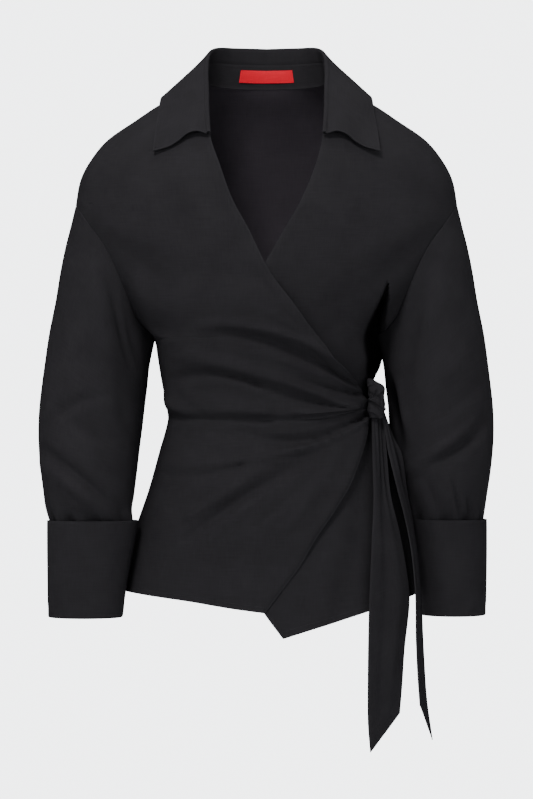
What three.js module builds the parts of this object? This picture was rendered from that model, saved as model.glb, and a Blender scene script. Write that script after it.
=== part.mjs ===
// Wrap top with a turned-over collar, deep turned-back cuffs and a side tie, filled out and hollow.
// Millimetres. +Z is up, +X is to the viewer's right and the front faces -Y.
// The origin is midway between the shoulders, level with the place where the collar crosses them.
import * as THREE from "three";

// Cloth
const CLOTH = 1.4;
const SEAM_GAP = 0.3;
const ARMHOLE_GAP = 0.7;
const LAP_LIFT = 3.2;
const LAP_EASE = 6;
const NECK_RISE = 1.6;
const CLOTH_COLOUR = 0x26262a;
const LABEL_COLOUR = 0xe02a30;

// Heights that the seams run between
const NECK_SIDE = 22;
const NECK_BACK = 19;
const ARMHOLE_TOP = -132;
const ARMHOLE_BOTTOM = -295;
const ARMHOLE_HALF_DEPTH = 66;

// How finely the panels are divided
const SHOULDER_HEIGHTS = [22, 8, -8, -28, -54, -82, -108];
const ARMHOLE_STEPS = 12;
const SIDE_STEPS = 8;
const PANEL_COLUMNS = 15;
const SKIRT_ROWS = 11;
const LEAF_STEPS = 6;
const WAIST_LEVEL = -386;
const HEM_LEVEL = -620;

// Level sections of the body: half widths to the viewer's left and right, half depths front and back.
// Beside the armholes the widths are those of the whole form, from which the armholes are cut.
const BODY_SECTIONS = [
  { height: 22, left: 74, right: 74, front: 8, back: 61 },
  { height: 10, left: 102, right: 102, front: 34, back: 66 },
  { height: -3, left: 128, right: 128, front: 50, back: 73 },
  { height: -12, left: 143, right: 143, front: 60, back: 78 },
  { height: -25, left: 162, right: 162, front: 70, back: 84 },
  { height: -50, left: 198, right: 198, front: 84, back: 93 },
  { height: -75, left: 219, right: 219, front: 95, back: 99 },
  { height: -100, left: 232, right: 232, front: 104, back: 103 },
  { height: -132, left: 238, right: 238, front: 112, back: 105 },
  { height: -157, left: 241, right: 241, front: 116, back: 105 },
  { height: -176, left: 236, right: 236, front: 119, back: 104 },
  { height: -207, left: 223, right: 223, front: 122, back: 102 },
  { height: -237, left: 205, right: 205, front: 121, back: 99 },
  { height: -270, left: 178, right: 178, front: 115, back: 94 },
  { height: -288, left: 153, right: 153, front: 110, back: 91 },
  { height: -295, left: 139, right: 139, front: 108, back: 90 },
  { height: -312, left: 137, right: 141, front: 103, back: 88 },
  { height: -332, left: 134, right: 139, front: 97, back: 85 },
  { height: -350, left: 131, right: 134, front: 92, back: 82 },
  { height: -387, left: 124, right: 131, front: 85, back: 77 },
  { height: -400, left: 123, right: 139, front: 85, back: 78 },
  { height: -437, left: 133, right: 158, front: 92, back: 86 },
  { height: -487, left: 147, right: 170, front: 101, back: 97 },
  { height: -528, left: 161, right: 178, front: 106, back: 103 },
  { height: -558, left: 169, right: 183, front: 108, back: 106 },
  { height: -612, left: 182, right: 188, front: 111, back: 110 },
  { height: -680, left: 196, right: 198, front: 114, back: 113 },
];

// How far the body stands out below the armholes, so that the chest runs down into the waist: most at
// one height and angle, and nothing outside the given heights and angles
const UNDERARM_FILL = {
  most: 14, top: -279, full: -297, end: -386, from: 12, fullFrom: 57, fullTo: 70, to: 90,
};

// Free edges of the two fronts in the bodice, from the neck down, and the edges of their skirts
const LAP_EDGE = [
  { height: 22, across: -72 }, { height: -49, across: -69 }, { height: -87, across: -57 },
  { height: -131, across: -41 }, { height: -168, across: -21 }, { height: -208, across: -2 },
  { height: -229, across: 11 }, { height: -254, across: 31 }, { height: -283, across: 52 },
  { height: -314, across: 77 }, { height: -328, across: 92 }, { height: -344, across: 105 },
  { height: -358, across: 111 }, { height: -372, across: 113 }, { height: -386, across: 118 },
];
const UNDER_EDGE = [
  { height: 22, across: 72 }, { height: -49, across: 69 }, { height: -87, across: 60 },
  { height: -131, across: 42 }, { height: -168, across: 21 }, { height: -208, across: -2 },
  { height: -229, across: -15 }, { height: -254, across: -33 }, { height: -283, across: -55 },
  { height: -314, across: -74 }, { height: -345, across: -85 }, { height: -386, across: -88 },
];
const LAP_SKIRT_EDGE = [
  { height: -386, across: 118 }, { height: -414, across: 119 }, { height: -473, across: 101 },
  { height: -508, across: 82 }, { height: -542, across: 60 }, { height: -577, across: 40 },
  { height: -607, across: 18 }, { height: -634, across: -2 },
];
const UNDER_SKIRT_EDGE = [
  { height: -386, across: -88 }, { height: -440, across: -96 }, { height: -473, across: -95 },
  { height: -508, across: -80 }, { height: -542, across: -60 }, { height: -577, across: -40 },
  { height: -607, across: -18 }, { height: -634, across: -2 }, { height: -665, across: 20 },
];

// Seams and hems that run across the body, from the viewer's left to right
const WAIST_SEAM = [
  { across: -124, height: -384 }, { across: -107, height: -394 }, { across: -90, height: -399 },
  { across: 3, height: -401 }, { across: 63, height: -399 }, { across: 100, height: -392 },
  { across: 131, height: -386 },
];
const BACK_WAIST_SEAM = [
  { across: -124, height: -384 }, { across: 0, height: -392 }, { across: 131, height: -386 },
];
const LAP_HEM = [
  { across: -182, height: -611 }, { across: -155, height: -614 }, { across: -92, height: -621 },
  { across: -40, height: -629 }, { across: -2, height: -634 },
];
const UNDER_HEM = [
  { across: 20, height: -665 }, { across: 65, height: -651 }, { across: 125, height: -633 },
  { across: 188, height: -615 },
];
const BACK_HEM = [
  { across: -182, height: -611 }, { across: 0, height: -628 }, { across: 188, height: -615 },
];

// Folds that the pull of the knot makes in the lapping front: three points of each fold as seen
// from the front, half its width, and how far it stands out (or sinks in, where negative)
const FRONT_FOLDS = [
  { from: [-60, -268], by: [10, -276], to: [95, -326], width: 11, height: 6 },
  { from: [-75, -288], by: [10, -290], to: [92, -340], width: 10, height: -7 },
  { from: [-90, -320], by: [5, -322], to: [112, -376], width: 11, height: 8 },
  { from: [-118, -338], by: [-70, -331], to: [-8, -349], width: 9, height: -5 },
  { from: [-100, -369], by: [-60, -360], to: [-5, -374], width: 14, height: 8 },
  { from: [44, -346], by: [72, -360], to: [112, -362], width: 7, height: -5 },
  { from: [20, -374], by: [52, -364], to: [92, -378], width: 7, height: -6 },
  { from: [32, -386], by: [60, -389], to: [98, -380], width: 8, height: 7 },
  { from: [-38, -416], by: [50, -432], to: [112, -396], width: 9, height: -7 },
  { from: [-34, -450], by: [40, -438], to: [112, -404], width: 8, height: 7 },
  { from: [-134, -466], by: [-85, -474], to: [-28, -454], width: 9, height: -4 },
  { from: [52, -446], by: [-20, -482], to: [-98, -544], width: 13, height: -7 },
  { from: [-10, -460], by: [-45, -488], to: [-92, -517], width: 11, height: 6 },
];
const BLOUSE = { above: 13, width: 9, height: 5 };

// Soft folds in the back: the waist pulled in, and flutes in the skirt
const BACK_FOLDS = [
  { from: [-112, -352], by: [-60, -366], to: [-6, -362], width: 9, height: 3 },
  { from: [110, -350], by: [62, -372], to: [10, -372], width: 9, height: 3 },
  { from: [-118, -300], by: [-96, -330], to: [-60, -345], width: 9, height: 3 },
  { from: [116, -300], by: [92, -326], to: [58, -340], width: 9, height: 3 },
  { from: [-62, -420], by: [-72, -520], to: [-84, -620], width: 16, height: 5 },
  { from: [0, -430], by: [4, -530], to: [2, -620], width: 18, height: 4 },
  { from: [66, -420], by: [80, -520], to: [92, -620], width: 16, height: 5 },
];

// Rings of the sleeves, both drawn on the viewer's left: the outermost and innermost points of each
// ring as seen from the front, its half depth and how far its middle hangs forward. The wearer's left
// sleeve stays narrower at the wrist, beside the tails of the tie.
const SLEEVE_TOP_RINGS = [
  { outer: [-238, -132], inner: [-139, -295], depth: 66, forward: 0 },
  { outer: [-244, -157], inner: [-141, -305], depth: 67, forward: 1 },
  { outer: [-251, -185], inner: [-144, -319], depth: 68, forward: 2 },
  { outer: [-257, -215], inner: [-147, -336], depth: 69, forward: 3 },
  { outer: [-263, -252], inner: [-149, -357], depth: 70, forward: 4 },
  { outer: [-271, -293], inner: [-152, -382], depth: 70, forward: 6 },
];
const SLEEVE_RINGS = {
  right: [
    ...SLEEVE_TOP_RINGS,
    { outer: [-277, -337], inner: [-155, -410], depth: 70, forward: 11 },
    { outer: [-282, -381], inner: [-158, -435], depth: 69, forward: 18 },
    { outer: [-283, -415], inner: [-160, -455], depth: 67, forward: 26 },
    { outer: [-281, -447], inner: [-162, -474], depth: 63, forward: 34 },
    { outer: [-277, -478], inner: [-164, -492], depth: 57, forward: 41 },
    { outer: [-272, -505], inner: [-166, -510], depth: 47, forward: 47 },
    { outer: [-264, -526], inner: [-165, -526], depth: 34, forward: 50 },
  ],
  left: [
    ...SLEEVE_TOP_RINGS,
    { outer: [-277, -337], inner: [-156, -410], depth: 69, forward: 7 },
    { outer: [-282, -381], inner: [-166, -435], depth: 68, forward: 8 },
    { outer: [-283, -415], inner: [-173, -455], depth: 67, forward: 8 },
    { outer: [-281, -447], inner: [-179, -474], depth: 65, forward: 8 },
    { outer: [-277, -478], inner: [-185, -492], depth: 62, forward: 8 },
    { outer: [-272, -505], inner: [-190, -510], depth: 56, forward: 7 },
    { outer: [-267, -526], inner: [-193, -526], depth: 47, forward: 6 },
  ],
};
const SLEEVE_ROWS = 14;
const GATHERS = 9;
const GATHER_HEIGHT = 2.2;

// Largest folds of the sleeves, as the folds of the front: at the elbow and down from under the arm
const SLEEVE_FOLDS = {
  right: {
    front: [
      { from: [-196, -200], by: [-176, -290], to: [-160, -372], width: 11, height: -6 },
      { from: [-276, -412], by: [-248, -452], to: [-204, -474], width: 12, height: -6 },
      { from: [-270, -436], by: [-240, -474], to: [-198, -496], width: 11, height: 5 },
    ],
    back: [
      { from: [-206, -190], by: [-186, -290], to: [-170, -370], width: 13, height: -5 },
      { from: [-270, -330], by: [-236, -372], to: [-190, -394], width: 13, height: 5 },
      { from: [-272, -400], by: [-236, -440], to: [-196, -452], width: 12, height: -5 },
    ],
  },
  left: {
    front: [
      { from: [196, -200], by: [178, -290], to: [166, -372], width: 11, height: -6 },
      { from: [200, -452], by: [240, -442], to: [270, -404], width: 9, height: -6 },
      { from: [182, -452], by: [222, -432], to: [256, -400], width: 11, height: 5 },
    ],
    back: [
      { from: [206, -190], by: [188, -290], to: [176, -370], width: 13, height: -5 },
      { from: [268, -320], by: [238, -362], to: [196, -380], width: 13, height: 5 },
      { from: [272, -396], by: [240, -430], to: [204, -446], width: 12, height: -5 },
    ],
  },
};

// Cuffs, drawn on the viewer's left: the ring at the top and bottom of the turned-back band. The layer
// inside starts a little lower, where the sleeve ends.
const CUFFS = {
  right: {
    top: { height: -523, middle: -214, halfWidth: 56, halfDepth: 41 },
    bottom: { height: -646, middle: -223.5, halfWidth: 45.5, halfDepth: 37 },
    forward: 50,
  },
  left: {
    top: { height: -523, middle: -230, halfWidth: 43.5, halfDepth: 54 },
    bottom: { height: -646, middle: -233, halfWidth: 39.5, halfDepth: 43 },
    forward: 6,
  },
};
const CUFF_INSIDE_TOP = -527.6;
const CUFF_SPREAD = 3.2;

// Collar, for the viewer's left half, from the middle of the back to the front end: the crest
// where it turns over, and its outer edge
const COLLAR_STATIONS = [
  { along: 0, crest: [0, 66, 70], edge: [0, 92, -14] },
  { along: 0.2, crest: [-38, 56, 70], edge: [-52, 84, -13] },
  { along: 0.38, crest: [-62, 33, 68], edge: [-100, 58, -8] },
  { along: 0.5, crest: [-70, 8, 60], edge: [-124, 26, 0] },
  { along: 0.65, crest: [-73, -14, 43], edge: [-131, -12, 3] },
  { along: 0.8, crest: [-72, -44, 10], edge: [-134, -47, -24] },
  { along: 0.9, crest: [-71, -65, -18], edge: [-137, -67, -48] },
  { along: 1, crest: [-69, -86, -46], edge: [-139, -80, -70] },
];
// How far the collar's front end stands above a straight line from the crest to the point
const COLLAR_END = [
  { along: 0, rise: 0 }, { along: 0.19, rise: 6 }, { along: 0.37, rise: 5.5 },
  { along: 0.53, rise: 0 }, { along: 0.71, rise: -2.6 }, { along: 1, rise: 0 },
];
const COLLAR_CLOTH = 1.6;
const COLLAR_SEAM_SHARE = 0.6;
const COLLAR_SEAM_DROP = { share: 0.85, from: 0.72, over: 0.25 };
const COLLAR_TURN = 5;
const COLLAR_CREST = { inside: 1.2, outside: 2.5 };
const COLLAR_COLUMNS = 28;
const STAND_SKIPS = 3;
const LABEL = { width: 74, low: 27, high: 43, cloth: 1 };

// Tie: the knot and, for each tail from the knot down, its two edges
const KNOT = { middle: [135, -49, -374], halfSize: [12.2, 13, 24.5], rows: 13, around: 20 };
const KNOT_WRAPS = { depth: 0.09, turns: 11, slant: 0.35 };
const FRONT_TAIL = [
  { left: [129, -48, -398.9], right: [145, -46, -398.9] },
  { left: [130, -68, -450], right: [149, -53, -450] },
  { left: [131, -79, -495], right: [153, -60, -492] },
  { left: [129, -88, -544], right: [164, -63, -538] },
  { left: [127, -93, -590], right: [172, -64, -582] },
  { left: [125, -95, -640], right: [176, -65, -622] },
  { left: [124, -95, -705], right: [170, -66, -680] },
  { left: [124, -95, -765], right: [167, -66, -725] },
  { left: [127, -94, -805], right: [164, -68, -759] },
];
const BACK_TAIL = [
  { left: [146.4, -52, -388], right: [148.6, -43, -390] },
  { left: [150, -52, -417], right: [158, -32, -420] },
  { left: [154, -53, -440], right: [169, -23, -444] },
  { left: [164, -53, -482], right: [176, -13, -486] },
  { left: [172, -56, -515], right: [181, -15, -520] },
  { left: [179, -60, -558], right: [188, -18, -568] },
  { left: [183, -63, -610], right: [192, -20, -625] },
  { left: [184, -63, -665], right: [195, -20, -685] },
  { left: [186, -62, -710], right: [199, -21, -745] },
  { left: [189, -60, -750], right: [206, -24, -796] },
];
const TAIL_COLUMNS = 5;
const TAIL_ROWS = 14;
const TAIL_PLEAT = { height: 3, reach: 0.7 };

const FRONT = 1;
const BACK = -1;
const LEFT = -1;
const RIGHT = 1;

const mix = (a, b, t) => a + (b - a) * t;
const clamp = (value, low, high) => Math.min(high, Math.max(low, value));
const degrees = (angle) => (angle * Math.PI) / 180;

function ease(value) {
  const t = clamp(value, 0, 1);
  return t * t * (3 - 2 * t);
}

// Smooth curve through the rows of a table, read at one value of its key column
function readTable(rows, key, column, at) {
  const rising = rows[rows.length - 1][key] > rows[0][key];
  const last = rows.length - 1;
  let index = 0;
  while (index < last - 1 && (rising ? rows[index + 1][key] < at : rows[index + 1][key] > at)) {
    index += 1;
  }
  const slope = (i) => {
    const before = rows[Math.max(i - 1, 0)];
    const after = rows[Math.min(i + 1, last)];
    return (after[column] - before[column]) / (after[key] - before[key]);
  };
  const span = rows[index + 1][key] - rows[index][key];
  const t = clamp((at - rows[index][key]) / span, 0, 1);
  const a = rows[index][column];
  const b = rows[index + 1][column];
  const t2 = t * t;
  const t3 = t2 * t;
  return a * (2 * t3 - 3 * t2 + 1) + slope(index) * span * (t3 - 2 * t2 + t)
    + b * (3 * t2 - 2 * t3) + slope(index + 1) * span * (t3 - t2);
}

// The same for a column that holds points
function readPoints(rows, key, column, at) {
  const parts = [0, 1, 2].map((axis) => {
    const flat = rows.map((row) => ({ key: row[key], value: row[column][axis] }));
    return readTable(flat, "key", "value", at);
  });
  return new THREE.Vector3(...parts);
}

// Body form
const halfDepth = (face, height) =>
  readTable(BODY_SECTIONS, "height", face > 0 ? "front" : "back", height);

// Half depth of the armhole at a height, and 0 above and below it
function armholeDepth(height) {
  const share = (ARMHOLE_TOP - height) / (ARMHOLE_TOP - ARMHOLE_BOTTOM);
  if (share <= 0 || share >= 1) {
    return 0;
  }
  return ARMHOLE_HALF_DEPTH * Math.sqrt(1 - (2 * share - 1) ** 2);
}

// Half width of the body at a height: up to the edge of the armhole, where there is one
function halfWidth(side, height) {
  const whole = readTable(BODY_SECTIONS, "height", side < 0 ? "left" : "right", height);
  return whole * Math.sqrt(1 - (armholeDepth(height) / halfDepth(FRONT, height)) ** 2);
}

// From 0 at one value up to 1 at another
const between = (value, from, to) => ease((value - from) / (to - from));

function underarmFill(angle, height) {
  const { most, top, full, end, from, fullFrom, fullTo, to } = UNDERARM_FILL;
  const reach = between(height, top, full) * (1 - between(height, full, end));
  const around = between(Math.abs(angle), from, fullFrom) * (1 - between(Math.abs(angle), fullTo, to));
  return most * reach * around;
}

// Point of the body form. The angle runs from -90 at the viewer's left edge to 90 at the right.
function bodyPoint(face, angle, height) {
  const side = angle < 0 ? LEFT : RIGHT;
  const hole = armholeDepth(height) * Math.sin(degrees(angle));
  const depth = Math.hypot(halfDepth(face, height) * Math.cos(degrees(angle)), hole);
  const out = -face * (depth + underarmFill(angle, height));
  return new THREE.Vector3(halfWidth(side, height) * Math.sin(degrees(angle)), out, height);
}

function angleAt(across, height) {
  const share = clamp(across / halfWidth(across < 0 ? LEFT : RIGHT, height), -1, 1);
  return (Math.asin(share) * 180) / Math.PI;
}

function openNormal(face, angle, height) {
  const level = clamp(angle, -85, 85);
  const acrossStep = bodyPoint(face, level + 2, height).sub(bodyPoint(face, level - 2, height));
  const upStep = bodyPoint(face, level, height + 3).sub(bodyPoint(face, level, height - 3));
  return acrossStep.cross(upStep).multiplyScalar(face).normalize();
}

// Sleeve form
const flatRings = (rings) => rings.map((ring, index) => ({
  index,
  outerX: ring.outer[0],
  outerZ: ring.outer[1],
  innerX: ring.inner[0],
  innerZ: ring.inner[1],
  depth: ring.depth,
  forward: ring.forward,
}));
const RINGS_ON = { [LEFT]: flatRings(SLEEVE_RINGS.right), [RIGHT]: flatRings(SLEEVE_RINGS.left) };
const LAST_RING = SLEEVE_RINGS.right.length - 1;

// Point of the armhole: 0 degrees at its top, 90 at the front, 180 under the arm, 270 at the back
function armholePoint(side, angle) {
  const share = (1 - Math.cos(degrees(angle))) / 2;
  const height = mix(ARMHOLE_TOP, ARMHOLE_BOTTOM, share);
  return new THREE.Vector3(
    side * halfWidth(side, height), -ARMHOLE_HALF_DEPTH * Math.sin(degrees(angle)), height);
}

function plainRingPoint(side, ring, angle) {
  const ringValue = (column, at) => readTable(RINGS_ON[side], "index", column, at);
  const outer = new THREE.Vector2(ringValue("outerX", ring), ringValue("outerZ", ring));
  const inner = new THREE.Vector2(ringValue("innerX", ring), ringValue("innerZ", ring));
  const spot = outer.clone().lerp(inner, (1 - Math.cos(degrees(angle))) / 2);
  const depth = ringValue("depth", ring) * Math.sin(degrees(angle)) + ringValue("forward", ring);
  return new THREE.Vector3(-side * spot.x, -depth, spot.y);
}

function sleevePoint(side, ring, angle) {
  const correction = armholePoint(side, angle).sub(plainRingPoint(side, 0, angle));
  return plainRingPoint(side, ring, angle).addScaledVector(correction, 1 - ease(ring / 4));
}

function sleeveNormal(side, ring, angle) {
  const start = Math.max(ring - 0.3, 0);
  const end = Math.min(ring + 0.3, LAST_RING);
  const along = sleevePoint(side, end, angle).sub(sleevePoint(side, start, angle));
  const around = sleevePoint(side, ring, angle + 4).sub(sleevePoint(side, ring, angle - 4));
  return along.cross(around).multiplyScalar(-side).normalize();
}

// Direction that two pieces share at a seam, so that their edges stay side by side
function seamNormal(side, face, height) {
  const slope = (halfWidth(side, height + 3) - halfWidth(side, height - 3)) / 6;
  const plain = new THREE.Vector3(side, 0, -slope).normalize();
  const share = (ARMHOLE_TOP - height) / (ARMHOLE_TOP - ARMHOLE_BOTTOM);
  if (share <= 0) {
    return plain;
  }
  if (share >= 1) {
    const underarm = seamNormal(side, face, ARMHOLE_BOTTOM + 0.01);
    return underarm.lerp(plain, ease((ARMHOLE_BOTTOM - height) / 30)).normalize();
  }
  const ringAngle = (Math.acos(1 - 2 * share) * 180) / Math.PI;
  const sleeve = sleeveNormal(side, 0, face > 0 ? ringAngle : 360 - ringAngle);
  const level = ease(Math.min(share, 1 - share) * 6);
  return plain.lerp(openNormal(face, side * 85, height), level).normalize().add(sleeve).normalize();
}

function bodyNormal(face, angle, height) {
  const side = angle < 0 ? LEFT : RIGHT;
  const nearEdge = ease((Math.abs(angle) - 66) / 24);
  const open = openNormal(face, angle, height);
  return nearEdge > 0 ? open.lerp(seamNormal(side, face, height), nearEdge).normalize() : open;
}

// How far the folds of a table lift the cloth at one place seen from the front
function foldLift(folds, across, height) {
  const spot = new THREE.Vector2(across, height);
  let lift = 0;
  for (const fold of folds) {
    const points = [fold.from, fold.by, fold.to].map((pair) => new THREE.Vector2(...pair));
    const curve = new THREE.QuadraticBezierCurve(...points);
    let nearest = Infinity;
    let where = 0;
    for (let step = 0; step <= 16; step += 1) {
      const gap = curve.getPoint(step / 16).distanceTo(spot);
      if (gap < nearest) {
        nearest = gap;
        where = step / 16;
      }
    }
    const fade = Math.sin(Math.PI * mix(0.08, 0.95, where)) ** 0.7;
    lift += fold.height * fade * Math.exp(-((nearest / fold.width) ** 2));
  }
  return lift;
}

// Closed wall from a grid of places, each with a point and the direction of its thickness
function wallMesh(name, grid, { cloth = CLOTH, closed = false, colour = CLOTH_COLOUR } = {}) {
  const rows = grid.length;
  const columns = grid[0].length;
  const positions = [];
  for (const sign of [0.5, -0.5]) {
    for (const row of grid) {
      for (const place of row) {
        positions.push(...place.point.clone().addScaledVector(place.normal, sign * cloth).toArray());
      }
    }
  }
  const outside = (i, j) => i * columns + (j % columns);
  const inside = (i, j) => rows * columns + outside(i, j);
  const faces = [];
  const quad = (a, b, c, d) => faces.push(a, b, c, a, c, d);
  const lastColumn = closed ? columns : columns - 1;
  for (let i = 0; i < rows - 1; i += 1) {
    for (let j = 0; j < lastColumn; j += 1) {
      quad(outside(i, j), outside(i + 1, j), outside(i + 1, j + 1), outside(i, j + 1));
      quad(inside(i, j), inside(i, j + 1), inside(i + 1, j + 1), inside(i + 1, j));
    }
    if (!closed) {
      const j = lastColumn;
      quad(outside(i, 0), inside(i, 0), inside(i + 1, 0), outside(i + 1, 0));
      quad(outside(i, j), outside(i + 1, j), inside(i + 1, j), inside(i, j));
    }
  }
  for (let j = 0; j < lastColumn; j += 1) {
    quad(outside(0, j), outside(0, j + 1), inside(0, j + 1), inside(0, j));
    quad(outside(rows - 1, j), inside(rows - 1, j), inside(rows - 1, j + 1), outside(rows - 1, j + 1));
  }
  return solidMesh(name, positions, faces, colour);
}

// Mesh of a closed body, with its faces turned outwards
function solidMesh(name, positions, faces, colour) {
  let volume = 0;
  const corner = (index) => new THREE.Vector3().fromArray(positions, index * 3);
  for (let f = 0; f < faces.length; f += 3) {
    volume += corner(faces[f]).dot(corner(faces[f + 1]).cross(corner(faces[f + 2])));
  }
  const geometry = new THREE.BufferGeometry();
  geometry.setAttribute("position", new THREE.Float32BufferAttribute(positions, 3));
  geometry.setIndex(volume < 0 ? faces.slice().reverse() : faces);
  geometry.computeVertexNormals();
  const material = new THREE.MeshStandardMaterial({ color: colour, roughness: 0.85, metalness: 0 });
  const mesh = new THREE.Mesh(geometry, material);
  mesh.name = name;
  return mesh;
}

// Directions for a grid that has no form of its own, from its neighbouring points
function withNormals(points) {
  const rows = points.length;
  const columns = points[0].length;
  return points.map((row, i) => row.map((point, j) => {
    const down = points[Math.min(i + 1, rows - 1)][j].clone().sub(points[Math.max(i - 1, 0)][j]);
    const along = row[Math.min(j + 1, columns - 1)].clone().sub(row[Math.max(j - 1, 0)]);
    return { point, normal: down.cross(along).normalize() };
  }));
}

// Evenly spaced shares from 0 to 1, drawn in at both ends by half a seam's gap
function shares(count, length) {
  const margin = SEAM_GAP / 2 / length;
  return Array.from({ length: count + 1 }, (_, i) => mix(margin, 1 - margin, i / count));
}

// How far past a start value, from 0 there to 1 a given way on
const past = (value, from, over) => ease((value - from) / over);

// Lift of the lapping front over the one beneath, down to nothing at its own seams
function lapLift(across, height, angle) {
  const fromSide = past(angle, -84, 26);
  const fromShoulder = past(-height, 20, 90);
  const folds = Math.max(foldLift(FRONT_FOLDS, across, height) + LAP_EASE, 0);
  const nearFolds = past(-height, 215, 50) * (1 - past(-height, 470, 120));
  const intoKnot = 1 - 0.6 * past(angle, 42, 22);
  return fromSide * fromShoulder * (LAP_LIFT + folds * nearFolds * intoKnot);
}

function blouseLift(height, seam) {
  return BLOUSE.height * Math.exp(-(((height - seam - BLOUSE.above) / BLOUSE.width) ** 2));
}

// Heights of the rows of a bodice panel at its outer edge: shoulder, armhole and side
function bodiceHeights() {
  const heights = [...SHOULDER_HEIGHTS];
  for (let step = 0; step <= ARMHOLE_STEPS; step += 1) {
    heights.push(mix(ARMHOLE_TOP, ARMHOLE_BOTTOM, (1 - Math.cos((Math.PI * step) / ARMHOLE_STEPS)) / 2));
  }
  for (let step = 1; step <= SIDE_STEPS; step += 1) {
    heights.push(mix(ARMHOLE_BOTTOM, WAIST_LEVEL, step / SIDE_STEPS));
  }
  return heights;
}

const ARMHOLE_ROW = SHOULDER_HEIGHTS.length + ARMHOLE_STEPS;

// A bodice panel between two edges, each given as an angle for every height
function bodicePanel(name, face, leftEdge, rightEdge, seam, lift) {
  const grid = bodiceHeights().map((edgeHeight, row) => {
    const below = Math.max(row - ARMHOLE_ROW, 0) / SIDE_STEPS;
    const start = leftEdge(edgeHeight);
    const end = rightEdge(edgeHeight);
    const length = halfWidth(LEFT, edgeHeight) * degrees(end - start);
    return shares(PANEL_COLUMNS, length).map((share) => {
      const angle = mix(start, end, share);
      const across = bodyPoint(face, angle, edgeHeight).x;
      const waist = readTable(seam, "across", "height", across) + SEAM_GAP / 2;
      const atBackNeck = row === 0 && face === BACK;
      const neckDip = atBackNeck ? (NECK_BACK - NECK_SIDE) * Math.cos(degrees(angle)) : 0;
      const height = mix(Math.max(edgeHeight, ARMHOLE_BOTTOM), waist, below) + neckDip;
      const normal = bodyNormal(face, angle, height);
      const point = bodyPoint(face, angle, height);
      return { point: point.addScaledVector(normal, lift(point.x, height, angle, waist)), normal };
    });
  });
  return wallMesh(name, grid);
}

// A skirt panel between the waist seam and a hem, with a side seam or a slanted free edge at each end
function skirtPanel(name, face, leftEdge, rightEdge, seam, hem, lift) {
  const heightAt = (table, angle, level) =>
    readTable(table, "across", "height", bodyPoint(face, angle, level).x);
  const grid = [];
  for (let row = 0; row <= SKIRT_ROWS; row += 1) {
    const down = row / SKIRT_ROWS;
    const length = halfWidth(LEFT, WAIST_LEVEL) * degrees(rightEdge(down) - leftEdge(down));
    grid.push(shares(PANEL_COLUMNS, length).map((share) => {
      const angle = mix(leftEdge(down), rightEdge(down), share);
      const top = heightAt(seam, mix(leftEdge(0), rightEdge(0), share), WAIST_LEVEL) - SEAM_GAP / 2;
      const bottom = heightAt(hem, mix(leftEdge(1), rightEdge(1), share), HEM_LEVEL);
      const height = mix(top, bottom, down);
      const normal = bodyNormal(face, angle, height);
      const point = bodyPoint(face, angle, height);
      return { point: point.addScaledVector(normal, lift(point.x, height, angle)), normal };
    }));
  }
  return wallMesh(name, grid);
}

const edgeAngle = (table) => (height) => angleAt(readTable(table, "height", "across", height), height);
const slantedEdge = (table) => (down) => {
  const height = mix(table[0].height, table[table.length - 1].height, down);
  return angleAt(readTable(table, "height", "across", height), height);
};
const leftSeam = () => -90;
const rightSeam = () => 90;

// Folds in the back fade out at its seams
const backLift = (across, height, angle) =>
  foldLift(BACK_FOLDS, across, height) * (1 - past(Math.abs(angle), 60, 24));

function bodicePanels() {
  const sideFade = (angle) => 1 - past(Math.abs(angle), 66, 20);
  return [
    bodicePanel("back_bodice", BACK, leftSeam, rightSeam, BACK_WAIST_SEAM,
      (across, height, angle, waist) => backLift(across, height, angle)
        + blouseLift(height, waist) * sideFade(angle)),
    bodicePanel("front_bodice_right", FRONT, leftSeam, edgeAngle(LAP_EDGE), WAIST_SEAM,
      (across, height, angle, waist) => lapLift(across, height, angle)
        + blouseLift(height, waist) * past(angle, -84, 26)),
    bodicePanel("front_bodice_left", FRONT, edgeAngle(UNDER_EDGE), rightSeam, WAIST_SEAM, () => 0),
  ];
}

function skirtPanels() {
  return [
    skirtPanel("back_skirt", BACK, leftSeam, rightSeam, BACK_WAIST_SEAM, BACK_HEM, backLift),
    skirtPanel("front_skirt_right", FRONT, leftSeam, slantedEdge(LAP_SKIRT_EDGE), WAIST_SEAM,
      LAP_HEM, lapLift),
    skirtPanel("front_skirt_left", FRONT, slantedEdge(UNDER_SKIRT_EDGE), rightSeam, WAIST_SEAM,
      UNDER_HEM, () => 0),
  ];
}

// A sleeve, from the armhole to the gathers that the cuff holds
function sleeve(name, side, folds) {
  const around = ARMHOLE_STEPS * 2;
  const grid = [];
  for (let row = 0; row <= SLEEVE_ROWS; row += 1) {
    const ring = LAST_RING * (row / SLEEVE_ROWS);
    const line = [];
    for (let step = 0; step < around; step += 1) {
      const angle = (360 * step) / around;
      const face = angle <= 180 ? FRONT : BACK;
      const own = sleeveNormal(side, ring, angle);
      const seamHeight = clamp(armholePoint(side, angle).z, ARMHOLE_BOTTOM + 0.01, ARMHOLE_TOP);
      const normal = row === 0 ? seamNormal(side, face, seamHeight) : own;
      const gather = GATHER_HEIGHT * Math.cos(degrees(GATHERS * angle)) * past(ring, LAST_RING - 2, 2);
      const point = sleevePoint(side, ring, angle);
      const inMiddle = past(ring, 0, 2) * (1 - past(ring, LAST_RING - 2, 2));
      const faceOn = past(Math.abs(Math.sin(degrees(angle))), 0, 0.4) * inMiddle;
      const fold = foldLift(face === FRONT ? folds.front : folds.back, point.x, point.z);
      const lift = fold * faceOn + gather;
      point.addScaledVector(own, row === 0 ? 0 : lift);
      if (row === 0) {
        point.addScaledVector(sleevePoint(side, 0.1, angle).sub(point).normalize(), ARMHOLE_GAP);
      }
      line.push({ point, normal });
    }
    grid.push(line);
  }
  return wallMesh(name, grid, { closed: true });
}

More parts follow.
